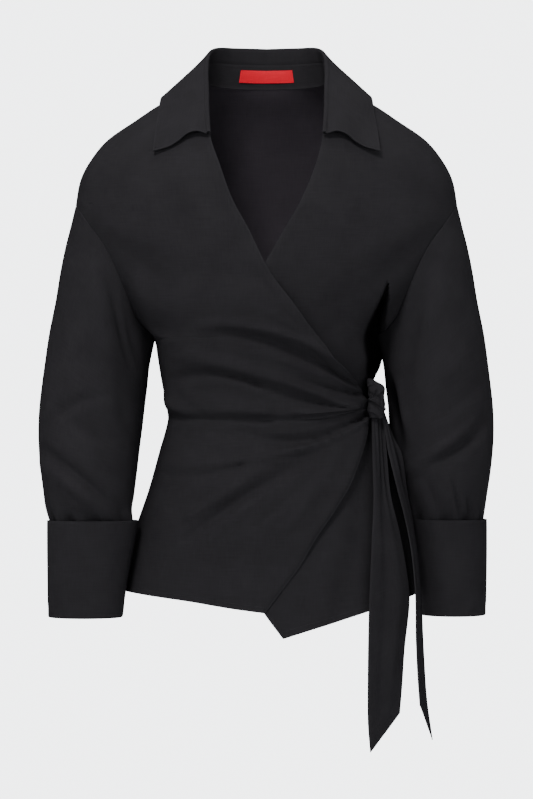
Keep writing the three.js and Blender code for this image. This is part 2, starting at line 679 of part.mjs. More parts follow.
// A cuff: one band that goes down inside, turns at the bottom and comes back up outside
function cuff(name, side, { top, bottom, forward }) {
  const around = ARMHOLE_STEPS * 2;
  const path = [
    { height: CUFF_INSIDE_TOP, inset: CUFF_SPREAD },
    { height: mix(CUFF_INSIDE_TOP, bottom.height, 0.5), inset: CUFF_SPREAD },
    { height: bottom.height + 5, inset: CUFF_SPREAD },
    { height: bottom.height + 1, inset: CUFF_SPREAD * 0.8 },
    { height: bottom.height + 1, inset: CUFF_SPREAD * 0.2 },
    { height: bottom.height + 5, inset: 0 }, { height: mix(top.height, bottom.height, 0.5), inset: 0 },
    { height: top.height, inset: 0 },
  ];
  const ringPoint = ({ height, inset }, angle) => {
    const down = (top.height - height) / (top.height - bottom.height);
    const width = mix(top.halfWidth, bottom.halfWidth, down) - inset;
    const depth = mix(top.halfDepth, bottom.halfDepth, down) - inset;
    const middle = mix(top.middle, bottom.middle, down);
    const x = -side * (middle - width * Math.cos(degrees(angle)));
    return new THREE.Vector3(x, -depth * Math.sin(degrees(angle)) - forward, height);
  };
  const grid = path.map((place, row) => {
    const line = [];
    for (let step = 0; step < around; step += 1) {
      const angle = (360 * step) / around;
      const before = ringPoint(path[Math.max(row - 1, 0)], angle);
      const after = ringPoint(path[Math.min(row + 1, path.length - 1)], angle);
      const turn = ringPoint(place, angle + 4).sub(ringPoint(place, angle - 4));
      line.push({ point: ringPoint(place, angle), normal: after.sub(before).cross(turn).normalize() });
    }
    return line;
  });
  return wallMesh(name, grid, { closed: true });
}

// Collar. Along runs from -1 at the viewer's left front end to 1 at the right one.
function collarStation(along) {
  const side = along < 0 ? LEFT : RIGHT;
  const share = Math.abs(along);
  const flip = new THREE.Vector3(-side, 1, 1);
  const crest = readPoints(COLLAR_STATIONS, "along", "crest", share).multiply(flip);
  const edge = readPoints(COLLAR_STATIONS, "along", "edge", share).multiply(flip);
  const onBack = share < 0.5;
  const height = onBack ? NECK_SIDE : mix(NECK_SIDE, -50, (share - 0.5) * 2);
  const angle = onBack ? side * 180 * share : angleAt(side * 72.5, height);
  const face = onBack ? BACK : FRONT;
  const dip = onBack ? (NECK_SIDE - NECK_BACK) * Math.cos(degrees(angle)) : 0;
  const neck = bodyPoint(face, angle, height - dip);
  const up = new THREE.Vector3(0, 0, 1);
  const away = up.lerp(bodyNormal(face, angle, height), past(share, 0.5, 0.2));
  neck.addScaledVector(away.normalize(), NECK_RISE);
  const drop = COLLAR_SEAM_DROP;
  const seamShare = COLLAR_SEAM_SHARE * (1 - drop.share * past(share, drop.from, drop.over));
  return { neck, crest, edge, seam: neck.clone().lerp(crest, seamShare) };
}

const collarStations = Array.from({ length: COLLAR_COLUMNS + 1 }, (_, column) =>
  collarStation(mix(-1, 1, column / COLLAR_COLUMNS)));

// Grid on the stand, at columns that may lie between two stations, between two shares of its height
function standGrid(columns, low, high, rows) {
  const points = [];
  for (let i = 0; i <= rows; i += 1) {
    const share = mix(low, high, i / rows);
    points.push(columns.map((column) => {
      const first = Math.min(Math.floor(column), COLLAR_COLUMNS - 1);
      const [a, b] = [first, first + 1].map((index) =>
        collarStations[index].neck.clone().lerp(collarStations[index].seam, share));
      return a.lerp(b, column - first);
    }));
  }
  return withNormals(points);
}

function collarFall() {
  const points = [];
  const end = (share) => readTable(COLLAR_END, "along", "rise", share);
  const lines = collarStations.map(({ neck, crest, edge, seam }, column) => {
    const along = mix(-1, 1, column / COLLAR_COLUMNS);
    const out = edge.clone().sub(crest).setZ(0).normalize();
    const rise = new THREE.Vector3(0, 0, 1);
    const turned = crest.clone().addScaledVector(out, COLLAR_TURN);
    turned.addScaledVector(rise, -COLLAR_CREST.outside);
    const line = [
      seam.clone().addScaledVector(crest.clone().sub(neck).normalize(), 2 * SEAM_GAP),
      crest.clone().addScaledVector(rise, -COLLAR_CREST.inside),
      crest.clone().addScaledVector(out, COLLAR_TURN / 2),
      turned,
    ];
    const nearEnd = past(Math.abs(along), 0.82, 0.18);
    for (let step = 1; step <= LEAF_STEPS; step += 1) {
      const share = step / LEAF_STEPS;
      line.push(turned.clone().lerp(edge, share).addScaledVector(rise, end(share) * nearEnd));
    }
    return line;
  });
  for (let i = 0; i < lines[0].length; i += 1) {
    points.push(lines.map((line) => line[i]));
  }
  return wallMesh("collar_fall", withNormals(points), { cloth: COLLAR_CLOTH });
}

function collar() {
  const standCount = COLLAR_COLUMNS + 1 - 2 * STAND_SKIPS;
  const standColumns = Array.from({ length: standCount }, (_, i) => i + STAND_SKIPS);
  const stand = standGrid(standColumns, 0, 1, 2);
  const middle = COLLAR_COLUMNS / 2;
  const { neck, seam } = collarStations[middle];
  const halfLabel = LABEL.width / 2 / neck.distanceTo(collarStations[middle + 1].neck);
  const heightShare = (height) => (height - neck.z) / (seam.z - neck.z);
  const wholeHalf = Math.floor(halfLabel);
  const wholeColumns = Array.from({ length: 2 * wholeHalf + 1 }, (_, i) => i - wholeHalf);
  const labelColumns = [-halfLabel, ...wholeColumns, halfLabel].map((column) => middle + column);
  const label = standGrid(labelColumns, heightShare(LABEL.low), heightShare(LABEL.high), 1);
  const inwards = (CLOTH + LABEL.cloth) / 2 + SEAM_GAP;
  for (const place of label.flat()) {
    place.point.addScaledVector(place.normal, -inwards * Math.sign(place.normal.y));
  }
  return [
    wallMesh("collar_stand", stand),
    collarFall(),
    wallMesh("neck_label", label, { cloth: LABEL.cloth, colour: LABEL_COLOUR }),
  ];
}

// Knot: a rounded block with the grooves of its wraps
function knot() {
  const { middle, halfSize, rows, around } = KNOT;
  const positions = [];
  const place = (x, y, z) => {
    const roundness = 0.92 / Math.max(Math.hypot(x, y, z * 0.8), 0.8) ** 0.4;
    const groove = 1 - KNOT_WRAPS.depth * Math.cos((z + KNOT_WRAPS.slant * x) * KNOT_WRAPS.turns);
    const tall = Math.sign(z) * Math.abs(z) ** roundness;
    positions.push(
      middle[0] + halfSize[0] * x * groove,
      middle[1] + halfSize[1] * y * groove,
      middle[2] + halfSize[2] * tall,
    );
  };
  place(0, 0, 1);
  place(0, 0, -1);
  for (let i = 1; i <= rows; i += 1) {
    const slope = (Math.PI * i) / (rows + 1);
    for (let j = 0; j < around; j += 1) {
      const turn = (2 * Math.PI * j) / around;
      place(-Math.cos(turn) * Math.sin(slope), -Math.sin(turn) * Math.sin(slope), Math.cos(slope));
    }
  }
  const at = (i, j) => 2 + (i - 1) * around + (j % around);
  const faces = [];
  for (let j = 0; j < around; j += 1) {
    faces.push(0, at(1, j), at(1, j + 1), 1, at(rows, j + 1), at(rows, j));
    for (let i = 1; i < rows; i += 1) {
      faces.push(at(i, j), at(i + 1, j), at(i + 1, j + 1), at(i, j), at(i + 1, j + 1), at(i, j + 1));
    }
  }
  return solidMesh("tie_knot", positions, faces, CLOTH_COLOUR);
}

// A tail of the tie, pleated where the knot holds it
function tail(name, stations) {
  const rows = stations.map((station, index) => ({ index, left: station.left, right: station.right }));
  const last = rows.length - 1;
  const points = [];
  for (let row = 0; row <= TAIL_ROWS; row += 1) {
    const at = (last * row) / TAIL_ROWS;
    const left = readPoints(rows, "index", "left", at);
    const right = readPoints(rows, "index", "right", at);
    const across = right.clone().sub(left).setZ(0).normalize();
    const out = new THREE.Vector3(across.y, -across.x, 0);
    const line = [];
    for (let column = 0; column <= TAIL_COLUMNS; column += 1) {
      const share = column / TAIL_COLUMNS;
      const fade = 1 - past(row / TAIL_ROWS, 0, TAIL_PLEAT.reach);
      const pleat = TAIL_PLEAT.height * Math.sin(Math.PI * 2 * share) * fade;
      line.push(left.clone().lerp(right, share).addScaledVector(out, pleat));
    }
    points.push(line);
  }
  return wallMesh(name, withNormals(points));
}

const top = new THREE.Group();
top.add(
  ...bodicePanels(),
  ...skirtPanels(),
  sleeve("sleeve_right", LEFT, SLEEVE_FOLDS.right),
  sleeve("sleeve_left", RIGHT, SLEEVE_FOLDS.left),
  cuff("cuff_right", LEFT, CUFFS.right),
  cuff("cuff_left", RIGHT, CUFFS.left),
  ...collar(),
  knot(),
  tail("tie_tail_front", FRONT_TAIL),
  tail("tie_tail_back", BACK_TAIL),
);

export default top;
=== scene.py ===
# Wrap top in black poplin, filled out and hollow, with a deep collar, turned-back cuffs and a side tie
# Sizes are in millimetres. +Z is up, +X is to the viewer's right and the front faces -Y.
import math

import bmesh
import bpy
import numpy as np
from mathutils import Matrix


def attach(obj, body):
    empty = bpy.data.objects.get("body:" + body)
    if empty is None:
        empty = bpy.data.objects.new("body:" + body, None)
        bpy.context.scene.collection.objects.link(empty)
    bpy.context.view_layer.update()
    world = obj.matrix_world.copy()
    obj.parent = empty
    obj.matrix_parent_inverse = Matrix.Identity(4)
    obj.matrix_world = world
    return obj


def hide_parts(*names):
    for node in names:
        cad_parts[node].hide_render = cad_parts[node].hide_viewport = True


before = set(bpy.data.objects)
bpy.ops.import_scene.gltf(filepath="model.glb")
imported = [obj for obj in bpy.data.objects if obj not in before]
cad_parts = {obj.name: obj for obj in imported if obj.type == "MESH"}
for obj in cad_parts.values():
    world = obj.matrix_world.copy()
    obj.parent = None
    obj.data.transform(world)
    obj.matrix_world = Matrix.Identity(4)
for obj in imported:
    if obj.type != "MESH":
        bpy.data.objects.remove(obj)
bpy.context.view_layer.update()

# Cloth
MM = 0.001
CLOTH = 0.8
COLLAR_CLOTH = 1.6
TIE_CLOTH = 1.3
LABEL_CLOTH = 0.7
STEP = 3.4
# Distances from each edge of a sheet where its grid is closer than the plain step
EDGE_SPOTS = np.array([0, 0.7, 1.6, 2.6, 4.2, 6.0, 8.2])
SEAM_DEPTH = 0.55
SEAM_WIDTH = 1.3
STITCH_DEPTH = 0.16
STITCH_WIDTH = 0.9
NO_STITCH = 99.0
# How far rows of stitches lie from their edges
SEAM_STITCH, BAND_STITCH, COLLAR_STITCH, HEM_STITCH = 1.6, 2.6, 4.2, 6.0
# How far a turned-up hem stands out, and its depth
HEM_RISE, HEM_DEPTH = 0.3, 6.4
# Step across the under front, which its hollow needs finer, and trial places across any panel
HOLLOW_STEP = 2.6
TRIAL_PLACES = 401
SKIRT_LENGTH = 230.0
# How far the seams of the waist keep off its line
SEAM_GAP = 0.05

# Heights that the seams run between
NECK_SIDE = 22.0
NECK_BACK_DIP = 3.0
NECK_DIP_DEPTH = 16.0
ARMHOLE_TOP = -132.0
ARMHOLE_BOTTOM = -295.0
ARMHOLE_HALF_DEPTH = 66.0
ARMHOLE_ROWS = 56
WAIST_LEVEL = -386.0

FRONT, BACK = 1, -1
LEFT, RIGHT = -1, 1


def mix(a, b, share):
    return a + (b - a) * share


def ease(value):
    t = np.clip(value, 0, 1)
    return t * t * (3 - 2 * t)


def unit(vectors):
    return vectors / np.maximum(np.linalg.norm(vectors, axis=-1, keepdims=True), 1e-9)


class Table:
    """Rows under named columns, the first of them the key, read as smooth curves through the rows."""

    def __init__(self, columns, rows):
        self.columns = columns.split()
        rows = np.array(rows, float)
        self.rows = rows if rows[0, 0] < rows[-1, 0] else rows[::-1]

    def read(self, column, at):
        keys = self.rows[:, 0]
        values = self.rows[:, self.columns.index(column)]
        slopes = np.empty_like(values)
        slopes[1:-1] = (values[2:] - values[:-2]) / (keys[2:] - keys[:-2])
        slopes[0] = (values[1] - values[0]) / (keys[1] - keys[0])
        slopes[-1] = (values[-1] - values[-2]) / (keys[-1] - keys[-2])
        at = np.asarray(at, float)
        index = np.clip(np.searchsorted(keys, at) - 1, 0, len(keys) - 2)
        span = keys[index + 1] - keys[index]
        t = np.clip((at - keys[index]) / span, 0, 1)
        start = values[index] * (2 * t**3 - 3 * t**2 + 1) + slopes[index] * span * (t**3 - 2 * t**2 + t)
        end = values[index + 1] * (3 * t**2 - 2 * t**3) + slopes[index + 1] * span * (t**3 - t**2)
        return start + end

    def read_point(self, names, at):
        return np.stack([self.read(name, at) for name in names.split()], axis=-1)


# Level sections of the body: half widths to the viewer's left and right, half depths front and back.
# Beside the armholes the widths are those of the whole form, which the armholes cut.
BODY = Table("height left right front back", [
    (22, 74, 74, 8, 61), (10, 102, 102, 34, 66), (-3, 128, 128, 50, 73), (-12, 143, 143, 60, 78),
    (-25, 162, 162, 70, 84), (-50, 198, 198, 84, 93), (-75, 219, 219, 95, 99),
    (-100, 232, 232, 104, 103), (-132, 238, 238, 112, 105), (-157, 241, 241, 116, 105),
    (-176, 236, 236, 119, 104), (-207, 223, 223, 122, 102), (-237, 205, 205, 121, 99),
    (-270, 178, 178, 115, 94), (-288, 153, 153, 110, 91), (-295, 139, 139, 108, 90),
    (-312, 137, 145, 103, 88), (-332, 134, 142, 97, 85), (-350, 131, 134, 92, 82),
    (-387, 124, 131, 85, 77), (-400, 123, 139, 85, 78), (-437, 133, 155, 92, 86),
    (-487, 147, 167, 101, 97), (-528, 161, 176, 106, 103),
    (-558, 169, 181, 108, 106), (-612, 182, 188, 111, 110), (-680, 196, 198, 114, 113),
])

# How far the body stands out below the armholes, so that the chest runs down into the waist: in all,
# between which heights, and from which angles up to which
UNDERARM_FILL = 14.0
FILL_TOP, FILL_FULL, FILL_END = -279.0, -297.0, -386.0
FILL_ANGLES = (12, 57, 70, 90)

# Free edges of the two fronts: in the bodice from the neck down, then in the skirt
LAP_EDGE = Table("height across", [
    (22, -72), (-49, -69), (-87, -57), (-131, -41), (-168, -21), (-208, -2), (-229, 11), (-254, 31),
    (-283, 52), (-314, 77), (-328, 92), (-344, 106), (-358, 113), (-372, 116), (-386, 118),
])
UNDER_EDGE = Table("height across", [
    (22, 72), (-49, 69), (-87, 60), (-131, 42), (-168, 21), (-208, -2), (-229, -15), (-254, -33),
    (-283, -55), (-314, -74), (-345, -85), (-386, -88),
])
LAP_SKIRT_EDGE = Table("height across", [
    (-386, 118), (-414, 119), (-473, 101), (-508, 82), (-542, 60), (-577, 40), (-607, 18), (-634, -2),
])
UNDER_SKIRT_EDGE = Table("height across", [
    (-386, -88), (-440, -96), (-473, -95), (-508, -80), (-542, -60), (-577, -40), (-607, -18),
    (-634, -2), (-665, 20),
])

# Seams and hems across the body, from the viewer's left to right
WAIST_SEAM = Table("across height", [
    (-124, -384), (-107, -394), (-90, -399), (3, -401), (63, -399), (100, -392), (131, -386),
])
BACK_WAIST_SEAM = Table("across height", [(-124, -384), (0, -392), (131, -386)])
LAP_HEM = Table("across height", [
    (-182, -611), (-155, -614), (-92, -621), (-40, -629), (-2, -634),
])
UNDER_HEM = Table("across height", [(20, -665), (65, -651), (125, -633), (188, -615)])
BACK_HEM = Table("across height", [(-182, -611), (0, -628), (188, -615)])
HEM_LEVEL = -620.0

# Folds, each a soft ridge (or a trough, where its height is negative) along three points as seen from
# the front: from, by, to, half its width, its height and, where its lower side is steeper, by how much
FRONT_FOLDS = [
    (-75, -280, 41, -276, 118, -350, 8, 6), (-51, -289, 29, -300, 111, -358, 8, -8),
    (40, -350, 82, -362, 118, -366, 5, -5), (-93, -319, -5, -333, 120, -391, 9, 6.5),
    (-107, -347, -63, -330, -9, -354, 7, -6), (-14, -352, 44, -380, 112, -386, 6, -4.5),
    (30, -389, 60, -393, 100, -384, 7, 6), (-108, -372, -60, -374, 0, -386, 15, 6),
    (-35, -415, 50, -447, 119, -396, 8, -9), (-30, -449, 55, -441, 120, -400, 6.5, 7),
    (-134, -467, -85, -475, -28, -456, 8, -4), (52, -448, -20, -485, -98, -546, 10, -8),
    (-10, -462, -45, -490, -92, -519, 9, 6), (-8, -312, 58, -334, 112, -360, 7, 2.5),
]
FINE_FRONT_FOLDS = [
    (-6, -262, 48, -286, 104, -340, 6, 1.6, 0.5), (30, -300, 66, -318, 112, -352, 4.5, -1.6, 0.4),
    (60, -330, 84, -344, 114, -362, 4, 1.5, 0.3), (-20, -306, 40, -316, 106, -366, 5, -1.5, 0.4),
    (40, -352, 78, -366, 116, -374, 4, 1.6, 0.3), (66, -364, 90, -372, 116, -379, 3.5, -1.6, 0.3),
    (10, -352, 60, -372, 114, -384, 4.5, -1.3, 0.4), (-110, -352, -98, -372, -70, -390, 6, -1.4, 0.4),
    (-122, -362, -108, -380, -84, -394, 4, 1.1, 0.4), (-52, -396, -12, -390, 28, -396, 4, 1.2, 0.3),
    (0, -407, 60, -406, 112, -391, 4, 1.8, 0.4), (10, -424, 70, -420, 116, -397, 4, -1.4, 0.4),
    (36, -428, 80, -418, 117, -400, 3.4, 1.5, 0.3), (-120, -408, -60, -411, 10, -409, 4.5, 1.2, 0.3),
    (-80, -438, -20, -446, 40, -444, 7, -1.6, 0.5), (-118, -452, -70, -458, -20, -448, 6, 1.3, 0.4),
    (-142, -484, -104, -484, -60, -470, 6, -1.6, 0.4), (30, -462, -16, -500, -70, -548, 7, 1.5, 0.5),
    (70, -452, 30, -492, -12, -528, 8, -1.8, 0.4), (88, -440, 62, -484, 28, -530, 8, 1.6, 0.4),
    (-150, -520, -120, -500, -92, -492, 9, 1.4, 0.3), (-60, -560, -64, -590, -70, -624, 14, 1.6, 0.2),
    (6, -548, -6, -584, -14, -628, 12, -1.6, 0.2), (-130, -548, -138, -582, -146, -612, 13, -1.6, 0.2),
]
CHEST_FOLDS = [
    (-206, -150, -150, -178, -96, -196, 15, 1.9, 0.2),
    (-196, -176, -150, -216, -108, -236, 13, -2.0, 0.3),
    (-182, -216, -150, -246, -112, -262, 10, 1.7, 0.3),
    (-160, -262, -138, -280, -104, -288, 8, -1.8, 0.3), (-148, -292, -128, -300, -98, -302, 6, 1.5, 0.3),
    (-110, -90, -80, -150, -40, -210, 16, 1.4, 0.2), (-150, -60, -132, -104, -118, -150, 15, -1.5, 0.2),
    (-178, -80, -168, -110, -160, -150, 12, 1.2, 0.2), (-60, -180, -24, -214, 10, -250, 12, -1.2, 0.3),
]
UNDER_FRONT_FOLDS = [
    (206, -150, 154, -182, 104, -204, 15, 1.9, 0.2), (194, -182, 150, -222, 102, -246, 12, -2.0, 0.3),
    (178, -226, 150, -252, 112, -272, 9, 1.7, 0.3), (160, -266, 142, -286, 112, -304, 8, -2.0, 0.3),
    (140, -300, 128, -318, 112, -338, 6, 1.8, 0.3), (60, -110, 84, -150, 92, -200, 16, 1.4, 0.2),
    (150, -60, 134, -104, 120, -150, 15, -1.5, 0.2), (70, -230, 92, -262, 106, -300, 12, -1.4, 0.3),
]
UNDER_SKIRT_FOLDS = [
    (120, -450, 112, -520, 96, -640, 12, -2.2, 0.2), (96, -500, 82, -570, 66, -648, 13, 2.0, 0.2),
    (62, -560, 46, -600, 40, -650, 10, -1.7, 0.2), (150, -470, 152, -540, 148, -622, 11, 1.8, 0.2),
    (166, -520, 168, -570, 170, -612, 8, -1.6, 0.2),
]
BACK_FOLDS = [
    (-112, -352, -60, -366, -6, -362, 9, 3), (110, -350, 62, -372, 10, -372, 9, 3),
    (-118, -300, -96, -330, -60, -345, 9, 3), (116, -300, 92, -326, 58, -340, 9, 3),
    (-62, -420, -72, -520, -84, -620, 16, 5), (0, -430, 4, -530, 2, -620, 18, 4),
    (66, -420, 80, -520, 92, -620, 16, 5),
]
FINE_BACK_FOLDS = [
    (-206, -150, -160, -190, -104, -206, 14, 1.9, 0.2), (204, -156, 158, -194, 100, -214, 14, 1.9, 0.2),
    (-184, -200, -150, -240, -98, -262, 12, -2.2, 0.3), (186, -196, 148, -238, 104, -256, 12, -2.2, 0.3),
    (-60, -300, -30, -340, -24, -380, 10, -2.2, 0.2), (48, -296, 30, -336, 20, -382, 11, -2.4, 0.2),
    (-104, -318, -66, -352, -20, -380, 7, -2.2, 0.4), (98, -322, 70, -350, 26, -384, 7, -2.0, 0.4),
    (-90, -378, -50, -384, -8, -380, 5, 1.8, 0.3), (84, -376, 46, -386, 14, -382, 5, 1.6, 0.3),
    (-36, -402, -40, -470, -44, -560, 10, -2.6, 0.2), (34, -404, 42, -480, 50, -570, 10, -2.8, 0.2),
    (-96, -404, -112, -470, -130, -560, 12, -2.4, 0.2), (102, -404, 120, -474, 136, -560, 12, -2.4, 0.2),
    (-14, -400, -16, -430, -18, -470, 6, 1.8, 0.2), (16, -400, 20, -436, 24, -486, 6, 1.6, 0.2),
    (-20, -30, -60, -100, -90, -170, 22, 1.6, 0.2), (26, -40, 62, -110, 84, -176, 22, 1.5, 0.2),
    (118, -372, 60, -350, -10, -354, 6, 3.2, 0.4), (118, -362, 70, -330, 6, -322, 6, -3.0, 0.4),
    (120, -402, 70, -438, 8, -470, 7, 3.0, 0.4), (118, -396, 60, -420, -26, -434, 6, -3.0, 0.4),
    (-116, -364, -74, -344, -24, -348, 6, 2.6, 0.4), (-118, -398, -78, -432, -18, -452, 7, -2.6, 0.4),
]
# How much more the folds of the back stand out than their tables say
BACK_FULLNESS = 1.6
# The soft roll of cloth above the waist seam: how far above it, half its width and its height
BLOUSE_ABOVE, BLOUSE_WIDTH, BLOUSE_HEIGHT = 13.0, 9.0, 5.0

# How the right front lies over the left: its lift, how much further its folded part stands out, the roll
# of its edge and the share of its folds that is lost where they reach the knot
LAP_LIFT = 3.2
LAP_EASE = 7.5
LAP_ROLL = 1.6
LAP_KNOT_DROP = 0.35

# Where folds and rolls come in or go out, as heights or as angles round the body, each from none to all
SEAM_FADE = (84, 58)
BACK_FADE = (84, 60)
BLOUSE_FADE = (86, 66)
LAP_TOP_FADE = (-20, -110)
LAP_FOLDS_IN, LAP_FOLDS_OUT = (-215, -265), (-470, -590)
LAP_KNOT_FADE = (46, 66)
ROLL_FADE = (-30, -70)

# The under front's hollow beside the sleeve: its edge, its far side, its depth and its painted shade (cloth
# darkened to stand for shadow), how it starts below its top and above the knot, and the strip beyond it left
# unshaded
HOLLOW_EDGE = Table("height across", [
    (-226, 150), (-241, 143), (-267, 129), (-293, 119), (-315, 119), (-336, 121), (-362, 122),
])
HOLLOW_TOP, HOLLOW_BOTTOM = -226.0, -362.0
HOLLOW_END = 149.0
HOLLOW_DEPTH = 40.0
HOLLOW_SHARPNESS = 1.3
HOLLOW_PAINTED_SHADE = 0.85
HOLLOW_TOP_FADE, HOLLOW_KNOT_FADE, PAINTED_SHADE_TOP_FADE = 26.0, 14.0, 12.0
PAINTED_SHADE_EDGE = 5
HOLLOW_SIDE_FADE = (80, 90)
LIGHT_ACROSS, LIGHT_ABOVE = (141, 145), (-304, -292)

# Cloth below the armholes is evened out: how far up and down, between which heights, and how far from
# the panel's edges
EVEN_REACH = 15.0
EVEN_IN, EVEN_OUT = (-225, -265), (-335, -365)
EVEN_EDGE = (6, 18)

# Rings of the sleeves, both drawn on the viewer's left
RING_COLUMNS = "ring outer_x outer_z inner_x inner_z depth forward"
SLEEVE_TOP = [
    (0, -238, -132, -139, -295, 66, 0), (1, -244, -157, -141, -305, 67, 1),
    (2, -251, -185, -144, -319, 68, 2), (3, -257, -215, -147, -336, 69, 3),
    (4, -263, -252, -149, -357, 70, 4), (5, -271, -293, -152, -382, 70, 6),
]
SLEEVES = {
    LEFT: Table(RING_COLUMNS, SLEEVE_TOP + [
        (6, -277, -337, -155, -410, 70, 11), (7, -282, -381, -158, -435, 69, 18),
        (8, -283, -415, -160, -455, 67, 26), (9, -281, -447, -162, -474, 63, 34),
        (10, -277, -478, -164, -492, 57, 41), (11, -272, -505, -166, -510, 47, 47),
        (12, -264, -526, -165, -526, 34, 50),
    ]),
    RIGHT: Table(RING_COLUMNS, SLEEVE_TOP + [
        (6, -277, -337, -154, -410, 69, 7), (7, -282, -381, -160, -435, 68, 8),
        (8, -283, -415, -166, -455, 67, 8), (9, -281, -447, -170, -474, 65, 8),
        (10, -277, -478, -174, -492, 62, 8), (11, -272, -505, -178, -510, 56, 7),
        (12, -267, -526, -182, -526, 47, 6),
    ]),
}
LAST_RING = 12
SLEEVE_FOLDS = {
    (LEFT, FRONT): [
        (-196, -200, -176, -290, -160, -372, 12, -4), (-176, -236, -168, -286, -156, -334, 4, -2.6),
        (-195, -216, -182, -276, -165, -334, 5, -2.6), (-278, -414, -247, -371, -199, -371, 7, -4.5),
        (-279, -434, -226, -466, -180, -510, 8, -7), (-278, -452, -234, -486, -196, -518, 9, 5),
        (-214, -176, -206, -250, -190, -330, 15, 1.8, 0.3),
        (-250, -330, -226, -372, -180, -404, 12, 1.8, 0.3),
        (-268, -372, -236, -404, -184, -432, 9, -2.0, 0.4),
        (-240, -404, -222, -420, -196, -426, 7, -1.8, 0.3),
        (-224, -430, -206, -452, -184, -462, 6, 1.7, 0.4),
        (-262, -462, -246, -486, -224, -502, 6, -1.8, 0.4),
        (-184, -320, -176, -372, -172, -420, 8, -1.8, 0.3),
        (-276, -340, -270, -380, -262, -410, 8, 1.4, 0.3),
    ],
    (LEFT, BACK): [
        (-206, -190, -186, -290, -170, -370, 13, -5), (-270, -330, -236, -372, -190, -394, 13, 5),
        (-272, -400, -236, -440, -196, -452, 12, -5), (-240, -180, -226, -250, -212, -310, 14, 2.0, 0.3),
        (-256, -290, -226, -330, -186, -352, 10, -2.2, 0.4),
        (-266, -430, -240, -462, -206, -480, 7, 2.2, 0.4),
        (-250, -452, -230, -478, -204, -496, 5, -2.0, 0.4),
        (-276, -370, -250, -404, -214, -418, 6, -2.0, 0.4),
    ],
    (RIGHT, FRONT): [
        (196, -200, 178, -290, 166, -372, 11, -6), (198, -454, 240, -440, 272, -400, 8, -7),
        (178, -462, 212, -440, 256, -404, 8, 5), (216, -176, 208, -250, 192, -330, 15, 1.8, 0.3),
        (149, -340, 156, -372, 168, -430, 4.5, -6), (160, -352, 166, -384, 178, -424, 4, 2.5),
        (250, -300, 228, -344, 186, -372, 12, 1.7, 0.3), (268, -350, 240, -380, 200, -404, 8, -1.8, 0.4),
        (228, -468, 236, -494, 240, -522, 3.0, -3.4), (221, -470, 230, -496, 234, -522, 3.0, 2.2),
        (248, -492, 252, -506, 252, -522, 3.0, -3.0), (196, -470, 204, -496, 214, -518, 5, -2.0, 0.3),
        (242, -500, 246, -508, 246, -522, 3.0, 1.8), (276, -420, 268, -452, 256, -476, 8, 1.6, 0.4),
    ],
    (RIGHT, BACK): [
        (206, -190, 188, -290, 176, -370, 13, -5), (268, -320, 238, -362, 196, -380, 13, 5),
        (272, -396, 240, -430, 204, -446, 12, -5), (242, -184, 228, -254, 212, -316, 14, 2.0, 0.3),
        (254, -286, 228, -326, 188, -350, 10, -2.2, 0.4), (264, -426, 242, -456, 214, -472, 7, 2.2, 0.4),
        (274, -362, 250, -396, 216, -412, 6, -2.0, 0.4), (240, -470, 236, -490, 230, -512, 5, -2.0, 0.3),
    ],
}
# Painted shade: how far the cloth is darkened in the cleft at the front of the right-hand sleeve
SLEEVE_PAINTED_SHADE = [(149, -344, 155, -370, 170, -436, 4.5, 0.95)]
# Pleats that the cuff gathers the sleeve into: where round the sleeve, half width in degrees, reach
# up the sleeve in rings and height
PLEATS = Table("angle width reach height", [
    (8, 5, 1.1, 1.5), (25, 6, 0.7, -1.5), (41, 5, 1.5, 1.8), (58, 4, 0.8, -1.4), (72, 5, 1.2, 1.6),
    (90, 6, 0.9, -1.7), (106, 4, 1.6, 1.8), (119, 4, 0.7, -1.4), (134, 5, 1.3, 1.5), (152, 6, 0.8, -1.6),
    (206, 6, 1.0, -1.5), (222, 5, 1.4, 1.7), (240, 5, 0.8, -1.5), (257, 4, 1.3, 1.6), (274, 6, 1.0, -1.7),
    (291, 5, 1.6, 1.8), (309, 5, 0.7, -1.5), (326, 4, 1.2, 1.6), (343, 5, 0.9, -1.5),
])
# Even gathers between the pleats: how many round the sleeve, and their height
GATHERS = 9
GATHER_HEIGHT = 2.2

# Sleeves laid flat: the length of one ring and the width
RING_LENGTH = 33.0
SLEEVE_GIRTH = 420.0

# Cuffs, drawn on the viewer's left: rings down the turned-back band, and how far each stands forward
CUFF_CLOTH = 1.2
CUFF_GIRTH = 300.0
CUFF_TURN = 2.0
CUFF_TOP, CUFF_BOTTOM = -523.0, -642.5
CUFF_INSIDE_TOP = -527.6
CUFF_SPREAD = 3.2
CUFF_COLUMNS = "down middle half_width half_depth"
CUFFS = {
    LEFT: (Table(CUFF_COLUMNS, [(0, -214, 56, 41), (0.5, -219, 50.2, 39.2), (1, -223.5, 45.5, 37)]), 50),
    RIGHT: (Table(CUFF_COLUMNS, [(0, -227.8, 46.2, 54), (0.5, -230.2, 43.2, 48.7), (1, -233, 40, 43)]), 6),
}

# Collar, for the viewer's left half, from the middle of the back to the front end
COLLAR = Table("along crest_x crest_y crest_z edge_x edge_y edge_z", [
    (0, 0, 66, 70, 0, 92, -14), (0.2, -38, 56, 70, -52, 84, -13), (0.38, -62, 33, 68, -100, 58, -8),
    (0.5, -70, 8, 60, -124, 26, 0), (0.65, -73, -14, 43, -131, -12, 3), (0.8, -72, -44, 10, -134, -47, -24),
    (0.9, -71, -65, -18, -137, -67, -48), (1, -69, -86, -46, -139, -80, -70),
])
COLLAR_END = Table("share rise", [(0, 0), (0.19, 6), (0.37, 5.5), (0.53, 0), (0.71, -2.6), (1, 0)])
# Where the fall is sewn on between the neck and the crest, how it turns over there, and how much its
# leaf bulges
COLLAR_SEAM_SHARE = 0.6
COLLAR_TURN = 5.0
COLLAR_DROP = 2.5
COLLAR_FOLD_ROWS = 24
COLLAR_CROWN = 2.2
